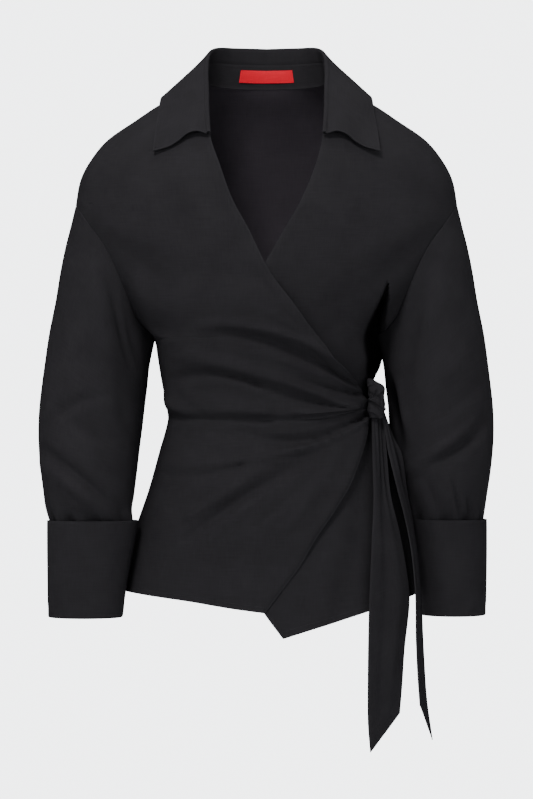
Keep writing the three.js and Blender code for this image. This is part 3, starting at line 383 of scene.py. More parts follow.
# Collar and stand laid flat, and how far the stand keeps off the neck seam and runs to the front
COLLAR_HALF_LENGTH = 300.0
COLLAR_DEPTH = 80.0
COLLAR_STEP = 3.2
STAND_DEPTH = 30.0
STAND_COLUMNS = 180
STAND_REACH = 0.786
NECK_GAP = 1.6
LABEL_HALF_WIDTH = 37.0
LABEL_LOW, LABEL_HIGH = 27.0, 43.0

# Tie: the knot, and each tail's two edges from the knot down
KNOT = Table("height left right front back", [
    (-347.6, 126, 128, -53, -50), (-349, 124.5, 131.5, -57, -45), (-352, 123.8, 137, -60, -41),
    (-355, 124, 142.5, -61, -38), (-358, 124.4, 145, -61.5, -37), (-363, 125, 145.8, -62, -36),
    (-368, 125.8, 146, -61.5, -36), (-372, 127, 146, -61, -36), (-376, 125.4, 146, -61.5, -36),
    (-382, 124.4, 146, -62, -36), (-389, 124.8, 145.8, -61.5, -37), (-394, 126.4, 145.4, -60, -38),
    (-397, 128, 145, -56, -41), (-398.4, 130, 143, -51, -45),
])
KNOT_SQUARENESS = 0.62
KNOT_FOLDS = [
    (120, -372, 129, -372, 149, -389, 1.7, -3.6), (122, -377, 131, -379, 146, -396, 2.2, 1.8),
    (122, -366, 132, -366, 148, -380, 2.0, 1.6), (130, -372, 131, -368, 134, -362, 1.5, -2.6),
    (134, -372, 138, -366, 149, -358, 1.6, -1.5), (136, -354, 135, -362, 137, -370, 2.2, 1.2),
    (123, -388, 132, -387, 142, -398, 1.5, -1.6), (124, -396, 136, -396.5, 148, -395, 1.4, -2.2),
    (120, -360, 126, -357, 132, -354, 1.5, -1.8), (141, -360, 142, -372, 141, -384, 1.6, 0.9),
]
TAIL_COLUMNS = "station left_x left_y left_z right_x right_y right_z"
FRONT_TAIL = Table(TAIL_COLUMNS, [
    (0, 129.5, -49, -393, 144.6, -47, -393), (1, 130, -68, -450, 149, -53, -450),
    (2, 131, -79, -495, 153, -60, -492), (3, 129, -88, -544, 164, -63, -538),
    (4, 127, -93, -590, 172, -64, -582), (5, 125, -95, -640, 176, -65, -622),
    (6, 124, -95, -705, 170, -66, -680), (7, 124, -95, -765, 167, -66, -725),
    (8, 127, -94, -805, 164, -68, -759),
])
BACK_TAIL = Table(TAIL_COLUMNS, [
    (0, 140, -47, -384, 144, -41, -386), (1, 146.4, -52, -417, 157, -38, -420),
    (2, 150, -57, -440, 168, -40, -444), (3, 160.5, -65, -482, 174, -39, -486),
    (4, 169.5, -70, -515, 180.5, -40, -520), (5, 178, -75, -558, 187.5, -41, -568),
    (6, 183, -78, -610, 192, -40, -625), (7, 184, -76, -665, 195, -36, -685),
    (8, 186, -73, -710, 199, -33, -745), (9, 189, -68, -750, 206, -33, -796),
])
KNOT_ROWS, KNOT_COLUMNS = 110, 150
# Each tail laid flat, and its pleat and creases with the share of its length where they end
TAIL_LENGTH, TAIL_WIDTH = 400.0, 44.0
TAIL_PLEAT, TAIL_PLEAT_END = 3.0, 0.7
TAIL_CREASE, TAIL_CREASE_END = 1.1, 0.42
# Creases of each tail: where across it, half their width and their height
TAIL_CREASES = {
    "tie_tail_front": [(0.3, 0.10, -1.6), (0.62, 0.12, 1.8)],
    "tie_tail_back": [(0.35, 0.12, 1.6), (0.7, 0.10, -1.4)],
}

# Colours of the cloth: where its threads are dark and where they are light
POPLIN_COLOURS = (0.0096, 0.0090, 0.0100), (0.0184, 0.0176, 0.0192)
INSIDE_COLOURS = (0.0205, 0.0178, 0.0215), (0.0325, 0.0285, 0.0335)
LABEL_COLOURS = (0.36, 0.0005, 0.009), (0.46, 0.0012, 0.014)
# Near-black colour for painted shade, mixed into the cloth in the under front's hollow and the sleeve's
# cleft
PAINTED_SHADE_COLOUR = (0.0008, 0.0007, 0.0009, 1.0)

# Studio, in metres: the floor, the camera, the light band round the horizon and the lamps with their
# places, sizes and powers
FLOOR_LEVEL, FLOOR_RADIUS = -1.5, 2.6
CAMERA_DISTANCE, CAMERA_LEVEL = 4.0, -0.374
PICTURE_HEIGHT, SENSOR = 0.99875, 36
WORLD_COLOUR = (0.96, 0.98, 1.0, 1.0)
WORLD_BAND, WORLD_SKY = 4.6, 0.17
BAND_END, SKY_START = 0.13, 0.17
LAMP_TARGET = (0.0, 0.0, -0.35)
LAMPS = {
    "key_left": ((-0.8, -2.3, 2.4), (0.9, 0.9), 160),
    "top": ((0.2, -0.2, 2.4), (1.2, 1.0), 60),
    "back_right": ((0.9, 2.9, 1.9), (1.0, 1.0), 46),
    "back_left": ((-0.9, 2.9, 1.9), (1.0, 1.0), 34),
}


def armhole_depth(height):
    share = np.clip((ARMHOLE_TOP - height) / (ARMHOLE_TOP - ARMHOLE_BOTTOM), 0, 1)
    return ARMHOLE_HALF_DEPTH * np.sqrt(np.maximum(1 - (2 * share - 1) ** 2, 0))


def half_width(side, height):
    """Half width of the body at a height: up to the edge of the armhole, where there is one."""
    whole = np.where(np.asarray(side) < 0, BODY.read("left", height), BODY.read("right", height))
    return whole * np.sqrt(1 - (armhole_depth(height) / BODY.read("front", height)) ** 2)


def between(value, start, end):
    return ease((value - start) / (end - start))


def underarm_fill(angle, height):
    reach = between(height, FILL_TOP, FILL_FULL) * (1 - between(height, FILL_FULL, FILL_END))
    start, full_from, full_to, end = FILL_ANGLES
    around = between(np.abs(angle), start, full_from) * (1 - between(np.abs(angle), full_to, end))
    return UNDERARM_FILL * reach * around


def body_point(face, angle, height):
    """Point of the body form, from -90 at the viewer's left edge to 90 at the right."""
    angle, height = np.broadcast_arrays(np.asarray(angle, float), np.asarray(height, float))
    turn = np.radians(angle)
    depth = BODY.read("front" if face == FRONT else "back", height)
    out = np.hypot(depth * np.cos(turn), armhole_depth(height) * np.sin(turn))
    out = out + underarm_fill(angle, height)
    return np.stack([half_width(angle, height) * np.sin(turn), -face * out, height], axis=-1)


def angle_at(across, height):
    share = np.clip(across / half_width(across, height), -1, 1)
    return np.degrees(np.arcsin(share))


def open_normal(face, angle, height):
    level = np.clip(angle, -85, 85)
    across = body_point(face, level + 2, height) - body_point(face, level - 2, height)
    up = body_point(face, level, height + 3) - body_point(face, level, height - 3)
    return unit(face * np.cross(across, up))


def fold_lift(folds, across, height, end=0.95, taper=0.0):
    """How far the folds of a table lift the cloth at places seen from the front.

    A fold dies out at its far end where end is near 1, and narrows on its way there by the taper.
    """
    steps = np.linspace(0, 1, 61)
    lift = np.zeros_like(across)
    for from_x, from_z, by_x, by_z, to_x, to_z, width, tall, *steeper in folds:
        lean = steeper[0] if steeper else 0.0
        curve_x = (1 - steps) ** 2 * from_x + 2 * steps * (1 - steps) * by_x + steps**2 * to_x
        curve_z = (1 - steps) ** 2 * from_z + 2 * steps * (1 - steps) * by_z + steps**2 * to_z
        gap_x = across[..., None] - curve_x
        gap_z = height[..., None] - curve_z
        square = gap_x**2 + gap_z**2
        nearest = np.argmin(square, axis=-1)
        gap = np.sqrt(np.take_along_axis(square, nearest[..., None], -1)[..., 0])
        drop = np.take_along_axis(gap_z, nearest[..., None], -1)[..., 0]
        reach = width * (1 - lean * 0.5 * np.tanh(-drop / width)) * (1 - taper * steps[nearest])
        fade = np.sin(np.pi * mix(0.08, end, steps[nearest])) ** 0.7
        lift += tall * fade * np.exp(-((gap / reach) ** 2))
    return lift


def spaced(length, step=STEP):
    """Distances along each length, closer together near both of its ends."""
    length = np.atleast_1d(np.asarray(length, float))
    scale = np.minimum(1, length / (4 * EDGE_SPOTS[-1]))
    start = scale[:, None] * EDGE_SPOTS
    end = length[:, None] - start[:, ::-1]
    count = max(2, int(round((length.max() - 2 * EDGE_SPOTS[-1]) / step)))
    inner = mix(start[:, -1:], end[:, :1], np.arange(1, count) / count)
    return np.hstack([start, inner, end])


def running_length(points, axis):
    steps = np.linalg.norm(np.diff(points, axis=axis), axis=-1)
    start = np.zeros_like(np.take(steps, [0], axis=axis))
    return np.concatenate([start, np.cumsum(steps, axis=axis)], axis=axis)


class Cloth:
    """A grid of places on one sheet, with its thread lengths and its distances from its four edges."""

    def __init__(self, points, thread, down, across, joined=False):
        self.points = points
        self.thread = thread
        self.joined = joined
        shape = points.shape[:2]
        self.edges = {
            "top": np.broadcast_to(down, shape),
            "bottom": np.broadcast_to(down.max(axis=0, keepdims=True) - down, shape),
            "start": np.broadcast_to(across, shape),
            "end": np.broadcast_to(across.max(axis=1, keepdims=True) - across, shape),
        }
        self.stitch_gap = np.full(shape, NO_STITCH)
        self.stitch_run = np.zeros(shape)
        # How much painted shade darkens the cloth at each place
        self.painted_shade = np.zeros(shape)

    def normals(self, outward):
        points = self.points
        down = np.gradient(points, axis=0)
        across = np.gradient(points, axis=1)
        if self.joined:
            across[:, 0] = points[:, 1] - points[:, -2]
            across[:, -1] = across[:, 0]
        return unit(outward * np.cross(down, across))

    def lift(self, height, outward):
        self.points = self.points + self.normals(outward) * height[..., None]

    def even_out(self, share, heights):
        """Evens out the line of each column, by a share of its own at every place."""
        gap = heights[:, None] - heights[None, :]
        weight = np.exp(-0.5 * (gap / EVEN_REACH) ** 2) * np.gradient(-heights)[None, :]
        weight = weight / weight.sum(axis=1, keepdims=True)
        for axis in (0, 1):
            line = self.points[..., axis]
            self.points[..., axis] = mix(line, weight @ line, share)

    def seam(self, *names):
        """The cloth rolls in where it is sewn to its neighbours."""
        dip = np.zeros(self.points.shape[:2])
        for name in names:
            dip = np.minimum(dip, -SEAM_DEPTH * np.exp(-((self.edges[name] / SEAM_WIDTH) ** 2)))
        return dip

    def stitch(self, name, distance):
        """A row of stitches along one edge. Returns the groove that it makes."""
        gap = np.abs(self.edges[name] - distance)
        run = running_length(self.points, 1 if name in ("top", "bottom") else 0)
        nearer = gap < self.stitch_gap
        self.stitch_run = np.where(nearer, run, self.stitch_run)
        self.stitch_gap = np.minimum(gap, self.stitch_gap)
        return -STITCH_DEPTH * np.exp(-((gap / STITCH_WIDTH) ** 2))


def select_only(piece):
    bpy.ops.object.select_all(action="DESELECT")
    piece.select_set(True)
    bpy.context.view_layer.objects.active = piece


def finish_piece(piece, node):
    """Shades a finished piece and puts it in the place of its solid."""
    select_only(piece)
    bpy.ops.object.shade_smooth_by_angle(angle=math.radians(50))
    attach(piece, "root")
    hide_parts(node)


def piece_of(mesh, thread, fields, materials):
    """An object of a mesh, with its weave and the fields that its materials read."""
    corners = np.empty(len(mesh.loops), int)
    mesh.loops.foreach_get("vertex_index", corners)
    weave = mesh.uv_layers.new(name="Thread")
    weave.data.foreach_set("uv", (thread.reshape(-1, 2)[corners] * MM).astype(np.float32).reshape(-1))
    for name, values in fields.items():
        layer = mesh.attributes.new(name, "FLOAT", "POINT")
        values = np.broadcast_to(np.ravel(values), len(mesh.vertices))
        layer.data.foreach_set("value", values.astype(np.float32))
    piece = bpy.data.objects.new(mesh.name, mesh)
    bpy.context.collection.objects.link(piece)
    for material in materials:
        mesh.materials.append(material)
    return piece


def sew(node, cloth, outward, materials, thickness=CLOTH, rounding=0.0):
    """Makes the sheet's mesh, with its weave, its stitches and its thickness."""
    rows, columns = cloth.points.shape[:2]
    index = np.arange(rows * columns).reshape(rows, columns)
    corners = [index[:-1, :-1], index[1:, :-1], index[1:, 1:], index[:-1, 1:]]
    if outward < 0:
        corners = corners[::-1]
    faces = np.stack(corners, axis=-1).reshape(-1, 4)
    mesh = bpy.data.meshes.new(node + "_cloth")
    mesh.from_pydata((cloth.points.reshape(-1, 3) * MM).tolist(), [], faces.tolist())
    edge = np.min(list(cloth.edges.values()), axis=0)
    piece = piece_of(mesh, cloth.thread, {
        "stitch_gap": cloth.stitch_gap, "stitch_run": cloth.stitch_run, "edge": edge, "painted_shade": cloth.painted_shade,
    }, materials)
    select_only(piece)
    wall = piece.modifiers.new("Thickness", "SOLIDIFY")
    wall.thickness = thickness * MM
    wall.offset = 0
    wall.material_offset = len(materials) - 1
    bpy.ops.object.modifier_apply(modifier=wall.name)
    if rounding:
        bevel = piece.modifiers.new("Rounded edges", "BEVEL")
        bevel.width = rounding * MM
        bevel.segments = 2
        bevel.angle_limit = math.radians(60)
        bpy.ops.object.modifier_apply(modifier=bevel.name)
    finish_piece(piece, node)


# Materials

class Value:
    """A shader socket that takes part in expressions and adds the Math nodes that they need."""

    def __init__(self, finish, socket):
        self.finish = finish
        self.socket = socket

    def math(self, operation, *others):
        sockets = dict(enumerate((self,) + others))
        return self.finish.node("ShaderNodeMath", {"operation": operation}, sockets)

    def __add__(self, other):
        return self.math("ADD", other)

    def __sub__(self, other):
        return self.math("SUBTRACT", other)

    def __rsub__(self, other):
        return (self * -1) + other

    def __mul__(self, other):
        return self.math("MULTIPLY", other)

    def __truediv__(self, other):
        return self.math("DIVIDE", other)

    __radd__ = __add__
    __rmul__ = __mul__

    def sine(self):
        return self.math("SINE")

    def kept_between(self, low, high):
        return self.math("MAXIMUM", low).math("MINIMUM", high)


class Finish:
    """A material, with one method that adds any node to it."""

    def __init__(self, name):
        self.material = bpy.data.materials.new(name)
        self.material.use_nodes = True
        self.tree = self.material.node_tree
        self.tree.nodes.clear()

    def node(self, kind, settings=None, sockets=None, output=0):
        made = self.tree.nodes.new(kind)
        for key, value in (settings or {}).items():
            setattr(made, key, value)
        for key, value in (sockets or {}).items():
            if isinstance(value, Value):
                self.tree.links.new(value.socket, made.inputs[key])
            else:
                made.inputs[key].default_value = value
        return Value(self, made.outputs[output]) if made.outputs else None

    def other(self, value, output):
        """Another output of the node that a value comes from."""
        return Value(self, value.socket.node.outputs[output])

    def attribute(self, name):
        return self.node("ShaderNodeAttribute", {"attribute_name": name}, output="Fac")

    def show(self, colour, roughness, height, distance, sheen, gloss):
        bump = self.node("ShaderNodeBump", {}, {"Height": height, "Distance": distance, "Strength": 1.0})
        shader = self.node("ShaderNodeBsdfPrincipled", {}, {
            "Base Color": colour, "Roughness": roughness, "Normal": bump, "Sheen Weight": sheen,
            "Sheen Roughness": 0.45, "Specular IOR Level": gloss,
        })
        self.node("ShaderNodeOutputMaterial", {}, {"Surface": shader})
        return self.material


def woven(name, colours, yarn, sheen, gloss, rough, thread_shade=0.5):
    """Plain-woven cloth: crossing yarns with slubs, a soft mottle, pressed edges and stitches, darkened
    toward near black where a piece paints shade into it.
    """
    colour, light_colour = colours
    finish = Finish(name)
    place = finish.node("ShaderNodeUVMap", {"uv_map": "Thread"})
    split = finish.node("ShaderNodeSeparateXYZ", {}, {0: place}, "X")
    across, down = split, finish.other(split, "Y")
    warp = (across * (2 * math.pi / (yarn * MM))).sine()
    weft = (down * (2 * math.pi / (yarn * 1.25 * MM))).sine()
    ribs = warp * weft

    def slubs(along_x, along_y, scale):
        stretched = finish.node("ShaderNodeMapping", {}, {0: place, "Scale": (along_x, along_y, 1.0)})
        return finish.node("ShaderNodeTexNoise", {}, {"Vector": stretched, "Scale": scale, "Detail": 2.0})

    streaks = slubs(1.0, 0.06, 900.0) + slubs(0.06, 1.0, 700.0)
    spot = finish.node("ShaderNodeTexCoord", {}, {}, "Object")
    mottle = finish.node("ShaderNodeTexNoise", {}, {"Vector": spot, "Scale": 26.0, "Detail": 4.0})
    rumple = finish.node("ShaderNodeTexNoise", {}, {"Vector": spot, "Scale": 60.0, "Detail": 3.0})
    pressed = (1 - finish.attribute("edge") / 2.5).kept_between(0.0, 1.0)
    gap = finish.attribute("stitch_gap")
    dash = ((finish.attribute("stitch_run") * (2 * math.pi / 2.8)).sine() * 4 + 2.4).kept_between(0.0, 1.0)
    thread = ((0.42 - gap) * 6).kept_between(0.0, 1.0) * dash

    tone = (streaks - 1.0) * 0.5 + (mottle - 0.5) * 0.5 + pressed * 0.22 + thread * thread_shade + 0.35
    tinted = finish.node("ShaderNodeMix", {"data_type": "RGBA"}, {
        "Factor": tone.kept_between(0.0, 1.0), 6: (*colour, 1.0), 7: (*light_colour, 1.0),
    }, 2)
    # Painted shade: the colour darkens towards near black as far as the piece asks for painted shade
    tinted = finish.node("ShaderNodeMix", {"data_type": "RGBA"}, {
        "Factor": finish.attribute("painted_shade"), 6: tinted, 7: PAINTED_SHADE_COLOUR,
    }, 2)
    roughness = rough + (mottle - 0.5) * 0.12 - thread * 0.15
    relief = ribs * 0.05 + streaks * 0.10 + rumple * 1.1 + thread * 0.45
    return finish.show(tinted, roughness, relief, 0.0005, sheen, gloss)


POPLIN = woven("black_poplin", POPLIN_COLOURS, yarn=0.55, sheen=0.0, gloss=0.0, rough=0.88)
POPLIN_INSIDE = woven("black_poplin_inside", INSIDE_COLOURS, yarn=0.55, sheen=0.0, gloss=0.0, rough=0.88)
LABEL_RED = woven(
    "red_label_satin", LABEL_COLOURS, yarn=0.45, sheen=0.0, gloss=0.1, rough=0.6, thread_shade=-0.6)


# Bodice and skirt

def body_thread(angle, height):
    girth = (half_width(angle, height) + BODY.read("front", height)) / 2
    return np.stack([np.radians(angle) * girth, height], axis=-1)


def side_hollow(across, height, angle):
    """How deep the under front falls back beside the sleeve, and how much painted shade darkens it there."""
    edge = HOLLOW_EDGE.read("across", height)
    share = np.clip((across - edge) / np.maximum(HOLLOW_END - edge, 1.0), 0, 1)
    from_top = ease((HOLLOW_TOP - height) / HOLLOW_TOP_FADE)
    from_knot = ease((height - HOLLOW_BOTTOM) / HOLLOW_KNOT_FADE)
    depth = HOLLOW_DEPTH * np.sin(np.pi * share) ** HOLLOW_SHARPNESS * from_top * from_knot
    beyond = between(across, *LIGHT_ACROSS) * between(height, *LIGHT_ABOVE)
    painted_darkness = HOLLOW_PAINTED_SHADE * ease(share * PAINTED_SHADE_EDGE) * ease((HOLLOW_TOP - height) / PAINTED_SHADE_TOP_FADE)
    return depth * (1 - between(angle, *HOLLOW_SIDE_FADE)), painted_darkness * (1 - beyond)


def off_seam(angle, side):
    """From none at a side seam to all on the front of the body."""
    return between(side * angle, *SEAM_FADE)


def lap_lift(across, height, angle):
    folds = np.maximum(fold_lift(FRONT_FOLDS, across, height, 0.6, 0.5) + LAP_EASE, 0)
    near_folds = between(height, *LAP_FOLDS_IN) * (1 - between(height, *LAP_FOLDS_OUT))
    into_knot = 1 - LAP_KNOT_DROP * between(angle, *LAP_KNOT_FADE)
    fine = fold_lift(FINE_FRONT_FOLDS, across, height, 0.75, 0.3)
    lift = LAP_LIFT + folds * near_folds * into_knot + fine
    return off_seam(angle, LEFT) * between(height, *LAP_TOP_FADE) * lift


def blouse_lift(height, seam):
    return BLOUSE_HEIGHT * np.exp(-(((height - seam - BLOUSE_ABOVE) / BLOUSE_WIDTH) ** 2))


def back_lift(across, height, angle):
    folds = fold_lift(BACK_FOLDS + FINE_BACK_FOLDS, across, height)
    return BACK_FULLNESS * folds * between(np.abs(angle), *BACK_FADE)


def resampled(points, values, spots):
    """Values at given distances along each row of points."""
    lengths = running_length(points, 1)
    return np.stack([np.interp(spot, run, row) for spot, run, row in zip(spots, lengths, values)])


def bodice_cloth(face, start_edge, end_edge, seam, step=STEP):
    """A bodice panel between two edges, each given as an angle for every height."""
    shoulder = NECK_SIDE - spaced(NECK_SIDE - ARMHOLE_TOP)[0]
    turn = np.linspace(0, np.pi, ARMHOLE_ROWS + 1)[1:]
    armhole = mix(ARMHOLE_TOP, ARMHOLE_BOTTOM, (1 - np.cos(turn)) / 2)
    side = ARMHOLE_BOTTOM - spaced(ARMHOLE_BOTTOM - WAIST_LEVEL)[0][1:]
    edge_height = np.concatenate([shoulder, armhole, side])[:, None]
    below = np.clip((ARMHOLE_BOTTOM - edge_height) / (ARMHOLE_BOTTOM - WAIST_LEVEL), 0, 1)
    start = start_edge(edge_height)
    end = end_edge(edge_height)

    def height_of(angle):
        across = body_point(face, angle, edge_height)[..., 0]
        return mix(np.maximum(edge_height, ARMHOLE_BOTTOM), seam.read("height", across) + SEAM_GAP, below)

    share = np.linspace(0, 1, TRIAL_PLACES)[None, :]
    trial = mix(start, end, share)
    points = body_point(face, trial, height_of(trial))
    spots = spaced(running_length(points, 1)[:, -1], step)
    angle = resampled(points, trial, spots)
    angle[:, :1] = start
    angle[:, -1:] = end
    height = height_of(angle)
    if face == BACK:
        dip = 1 - ease((NECK_SIDE - edge_height) / NECK_DIP_DEPTH)
        height = height - NECK_BACK_DIP * np.cos(np.radians(angle)) * dip
    down = (NECK_SIDE - edge_height) + 0 * angle
    cloth = Cloth(body_point(face, angle, height), body_thread(angle, height), down, spots)
    under_arm = between(height, *EVEN_IN) * (1 - between(height, *EVEN_OUT))
    nearest_edge = np.min([cloth.edges["top"], cloth.edges["start"], cloth.edges["end"]], axis=0)
    cloth.even_out(under_arm * between(nearest_edge, *EVEN_EDGE), edge_height[:, 0])
    waist = seam.read("height", cloth.points[..., 0])
    return cloth, angle, height, waist


def skirt_cloth(face, start_edge, end_edge, seam, hem):
    """A skirt panel between the waist seam and a hem."""
    down = (spaced(SKIRT_LENGTH)[0] / SKIRT_LENGTH)[:, None]
    start = start_edge(down)
    end = end_edge(down)

    def heights(share):
        top_x = body_point(face, mix(start[:1], end[:1], share), WAIST_LEVEL)[..., 0]
        hem_x = body_point(face, mix(start[-1:], end[-1:], share), HEM_LEVEL)[..., 0]
        return mix(seam.read("height", top_x) - SEAM_GAP, hem.read("height", hem_x), down)

    share = np.linspace(0, 1, TRIAL_PLACES)[None, :] + 0 * down
    points = body_point(face, mix(start, end, share), heights(share))
    spots = spaced(running_length(points, 1)[:, -1])
    placed = resampled(points, share, spots)
    placed[:, 0] = 0
    placed[:, -1] = 1
    angle = mix(start, end, placed)
    height = heights(placed)
    fall = down * SKIRT_LENGTH + 0 * angle
    cloth = Cloth(body_point(face, angle, height), body_thread(angle, height), fall, spots)
    return cloth, angle, height


def edge_angle(table):
    return lambda height: angle_at(table.read("across", height), height)


def slanted_edge(table):
    heights = table.rows[::-1, 0]

    def angle(down):
        height = mix(heights[0], heights[-1], down)
        return angle_at(table.read("across", height), height)

    return angle


def left_seam(height):
    return np.full_like(height, -90.0)


def right_seam(height):
    return np.full_like(height, 90.0)


def free_edge_roll(distance):
    """The folded edge of a front turns in a little, behind a soft ridge."""
    return 0.5 * np.exp(-(((distance - 9) / 5) ** 2)) - LAP_ROLL * np.exp(-((distance / 3.2) ** 2))


def hem_step(distance):
    """The turned-up hem stands out by its extra layers."""
    return HEM_RISE * (1 - ease((distance - HEM_DEPTH) / 1.6))


def sew_panel(node, face, cloth, lift, seams, stitches, back=0.0):
    """Lifts a panel by its folds, seams and stitches, sets it back where it falls in, and sews it."""
    cloth.lift(lift + cloth.seam(*seams) + cloth.stitch("bottom", stitches), face)
    cloth.points[..., 1] += back
    sew(node, cloth, face, [POPLIN, POPLIN_INSIDE])


def make_bodice():
    cloth, angle, height, waist = bodice_cloth(BACK, left_seam, right_seam, BACK_WAIST_SEAM)
    side_fade = between(np.abs(angle), *BLOUSE_FADE)
    lift = back_lift(cloth.points[..., 0], height, angle) + blouse_lift(height, waist) * side_fade
    sew_panel("back_bodice", BACK, cloth, lift, ("start", "end", "bottom"), SEAM_STITCH)

    cloth, angle, height, waist = bodice_cloth(FRONT, left_seam, edge_angle(LAP_EDGE), WAIST_SEAM)
    across = cloth.points[..., 0]
    from_seam = off_seam(angle, LEFT)
    lift = lap_lift(across, height, angle) + blouse_lift(height, waist) * from_seam
    lift = lift + fold_lift(CHEST_FOLDS, across, height) * from_seam
    lift = lift + free_edge_roll(cloth.edges["end"]) * between(height, *ROLL_FADE)
    sew_panel("front_bodice_right", FRONT, cloth, lift, ("start", "bottom"), SEAM_STITCH)

    cloth, angle, height, waist = bodice_cloth(
        FRONT, edge_angle(UNDER_EDGE), right_seam, WAIST_SEAM, HOLLOW_STEP)
    across = cloth.points[..., 0]
    # The hollow's depth, and the painted shade that darkens it
    hollow, cloth.painted_shade = side_hollow(across, height, angle)
    lift = fold_lift(UNDER_FRONT_FOLDS, across, height) * off_seam(angle, RIGHT)
    lift = lift + 0.5 * free_edge_roll(cloth.edges["start"]) * between(height, *ROLL_FADE)
    sew_panel("front_bodice_left", FRONT, cloth, lift, ("end", "bottom"), SEAM_STITCH, back=hollow)


def make_skirt():
    cloth, angle, height = skirt_cloth(BACK, left_seam, right_seam, BACK_WAIST_SEAM, BACK_HEM)
    lift = back_lift(cloth.points[..., 0], height, angle) + hem_step(cloth.edges["bottom"])
    sew_panel("back_skirt", BACK, cloth, lift, ("start", "end", "top"), HEM_STITCH)

    cloth, angle, height = skirt_cloth(
        FRONT, left_seam, slanted_edge(LAP_SKIRT_EDGE), WAIST_SEAM, LAP_HEM)
    lift = lap_lift(cloth.points[..., 0], height, angle) + hem_step(cloth.edges["bottom"])
    lift = lift + free_edge_roll(cloth.edges["end"])
    sew_panel("front_skirt_right", FRONT, cloth, lift, ("start", "top"), HEM_STITCH)

    cloth, angle, height = skirt_cloth(
        FRONT, slanted_edge(UNDER_SKIRT_EDGE), right_seam, WAIST_SEAM, UNDER_HEM)
    lift = fold_lift(UNDER_SKIRT_FOLDS, cloth.points[..., 0], height) * off_seam(angle, RIGHT)
    lift = lift + 0.5 * free_edge_roll(cloth.edges["start"]) + hem_step(cloth.edges["bottom"])
    sew_panel("front_skirt_left", FRONT, cloth, lift, ("end", "top"), HEM_STITCH)


# Sleeves and cuffs

def armhole_point(side, angle):
    """Point of the armhole: 0 degrees at its top, 90 at the front, 180 under the arm, 270 at the back."""
    height = mix(ARMHOLE_TOP, ARMHOLE_BOTTOM, (1 - np.cos(np.radians(angle))) / 2)
    depth = -ARMHOLE_HALF_DEPTH * np.sin(np.radians(angle))
    return np.stack([side * half_width(side, height), depth, height], axis=-1)


def plain_ring_point(side, ring, angle):
    rings = SLEEVES[side]
    share = (1 - np.cos(np.radians(angle))) / 2
    x = mix(rings.read("outer_x", ring), rings.read("inner_x", ring), share)
    z = mix(rings.read("outer_z", ring), rings.read("inner_z", ring), share)
    depth = rings.read("depth", ring) * np.sin(np.radians(angle)) + rings.read("forward", ring)
    return np.stack([-side * x, -depth, z], axis=-1)


def sleeve_point(side, ring, angle):
    correction = armhole_point(side, angle) - plain_ring_point(side, np.zeros_like(ring), angle)
    return plain_ring_point(side, ring, angle) + correction * (1 - ease(ring / 4))[..., None]


def make_sleeve(node, side):
    down = spaced(LAST_RING * RING_LENGTH)[0][:, None]
    across = spaced(SLEEVE_GIRTH)[0][None, :]
    ring, angle = np.broadcast_arrays(down / RING_LENGTH, 180 + 360 * across / SLEEVE_GIRTH)
    points = sleeve_point(side, ring, angle)
    thread = np.stack([across + 0 * ring, -down + 0 * angle], axis=-1)
    cloth = Cloth(points, thread, down + 0 * angle, across + 0 * ring, joined=True)
    x, z = points[..., 0], points[..., 2]
    turn = angle % 360
    front = fold_lift(SLEEVE_FOLDS[side, FRONT], x, z)
    back = BACK_FULLNESS * fold_lift(SLEEVE_FOLDS[side, BACK], x, z)
    face_on = ease(np.abs(np.sin(np.radians(angle))) * 2.5) * ease(ring / 2) * ease((LAST_RING - ring) / 0.7)
    lift = np.where(turn <= 180, front, back) * face_on
    lift = lift + GATHER_HEIGHT * np.cos(np.radians(GATHERS * angle)) * ease((ring - LAST_RING + 2) / 2)
    for centre, width, reach, height in PLEATS.rows:
        gap = (turn - centre + 180) % 360 - 180
        lift = lift + height * np.exp(-((gap / width) ** 2)) * ease((ring - LAST_RING + reach) / reach)
    lift = lift + cloth.seam("top", "start", "end")
    cloth.lift(lift, -side)
    # Painted shade darkens the cloth along the cleft at the front of this sleeve
    if side == RIGHT:
        cloth.painted_shade = np.where(turn <= 180, fold_lift(SLEEVE_PAINTED_SHADE, x, z), 0)
    sew(node, cloth, -side, [POPLIN, POPLIN_INSIDE])


def make_cuff(node, side):
    """One band that goes down inside, turns at the bottom and comes back up outside."""
    form, forward = CUFFS[side]
    inside = CUFF_INSIDE_TOP - spaced(CUFF_INSIDE_TOP - CUFF_BOTTOM - CUFF_TURN)[0]
    outside = CUFF_BOTTOM + CUFF_TURN + spaced(CUFF_TOP - CUFF_BOTTOM - CUFF_TURN)[0]
    turn = np.radians(np.arange(15, 180, 15))
    radius = CUFF_SPREAD / 2
    bottom = CUFF_BOTTOM + CUFF_TURN - radius * np.sin(turn)
    height = np.concatenate([inside, bottom, outside])
    inset = np.concatenate([
        np.full_like(inside, CUFF_SPREAD), radius * (1 + np.cos(turn)), np.zeros_like(outside)])
    across = spaced(CUFF_GIRTH)[0][None, :]
    angle = np.radians(180 + 360 * across / CUFF_GIRTH)
    down = ((CUFF_TOP - height) / (CUFF_TOP - CUFF_BOTTOM))[:, None]
    width = form.read("half_width", down) - inset[:, None]
    depth = form.read("half_depth", down) - inset[:, None]
    x = -side * (form.read("middle", down) - width * np.cos(angle))
    points = np.stack([x, -depth * np.sin(angle) - forward, height[:, None] + 0 * angle], axis=-1)
    length = running_length(points, 0)
    thread = np.stack([across + 0 * down, length], axis=-1)
    cloth = Cloth(points, thread, length[:, :1] + 0 * angle, across + 0 * down, joined=True)
    wave = 0.7 * np.sin(angle * 3 + 0.8) * np.sin(down * 2.6 + 0.4) + 0.4 * np.sin(angle * 7 + 2 * down)
    on_outside = ease((length - length.max() / 2 - 6) / 12)
    lift = wave * on_outside + cloth.seam("start", "end")
    lift = lift + cloth.stitch("bottom", BAND_STITCH) + cloth.stitch("top", BAND_STITCH)
    cloth.lift(lift, side)
    sew(node, cloth, side, [POPLIN, POPLIN_INSIDE], thickness=CUFF_CLOTH, rounding=0.35)


# Collar and label

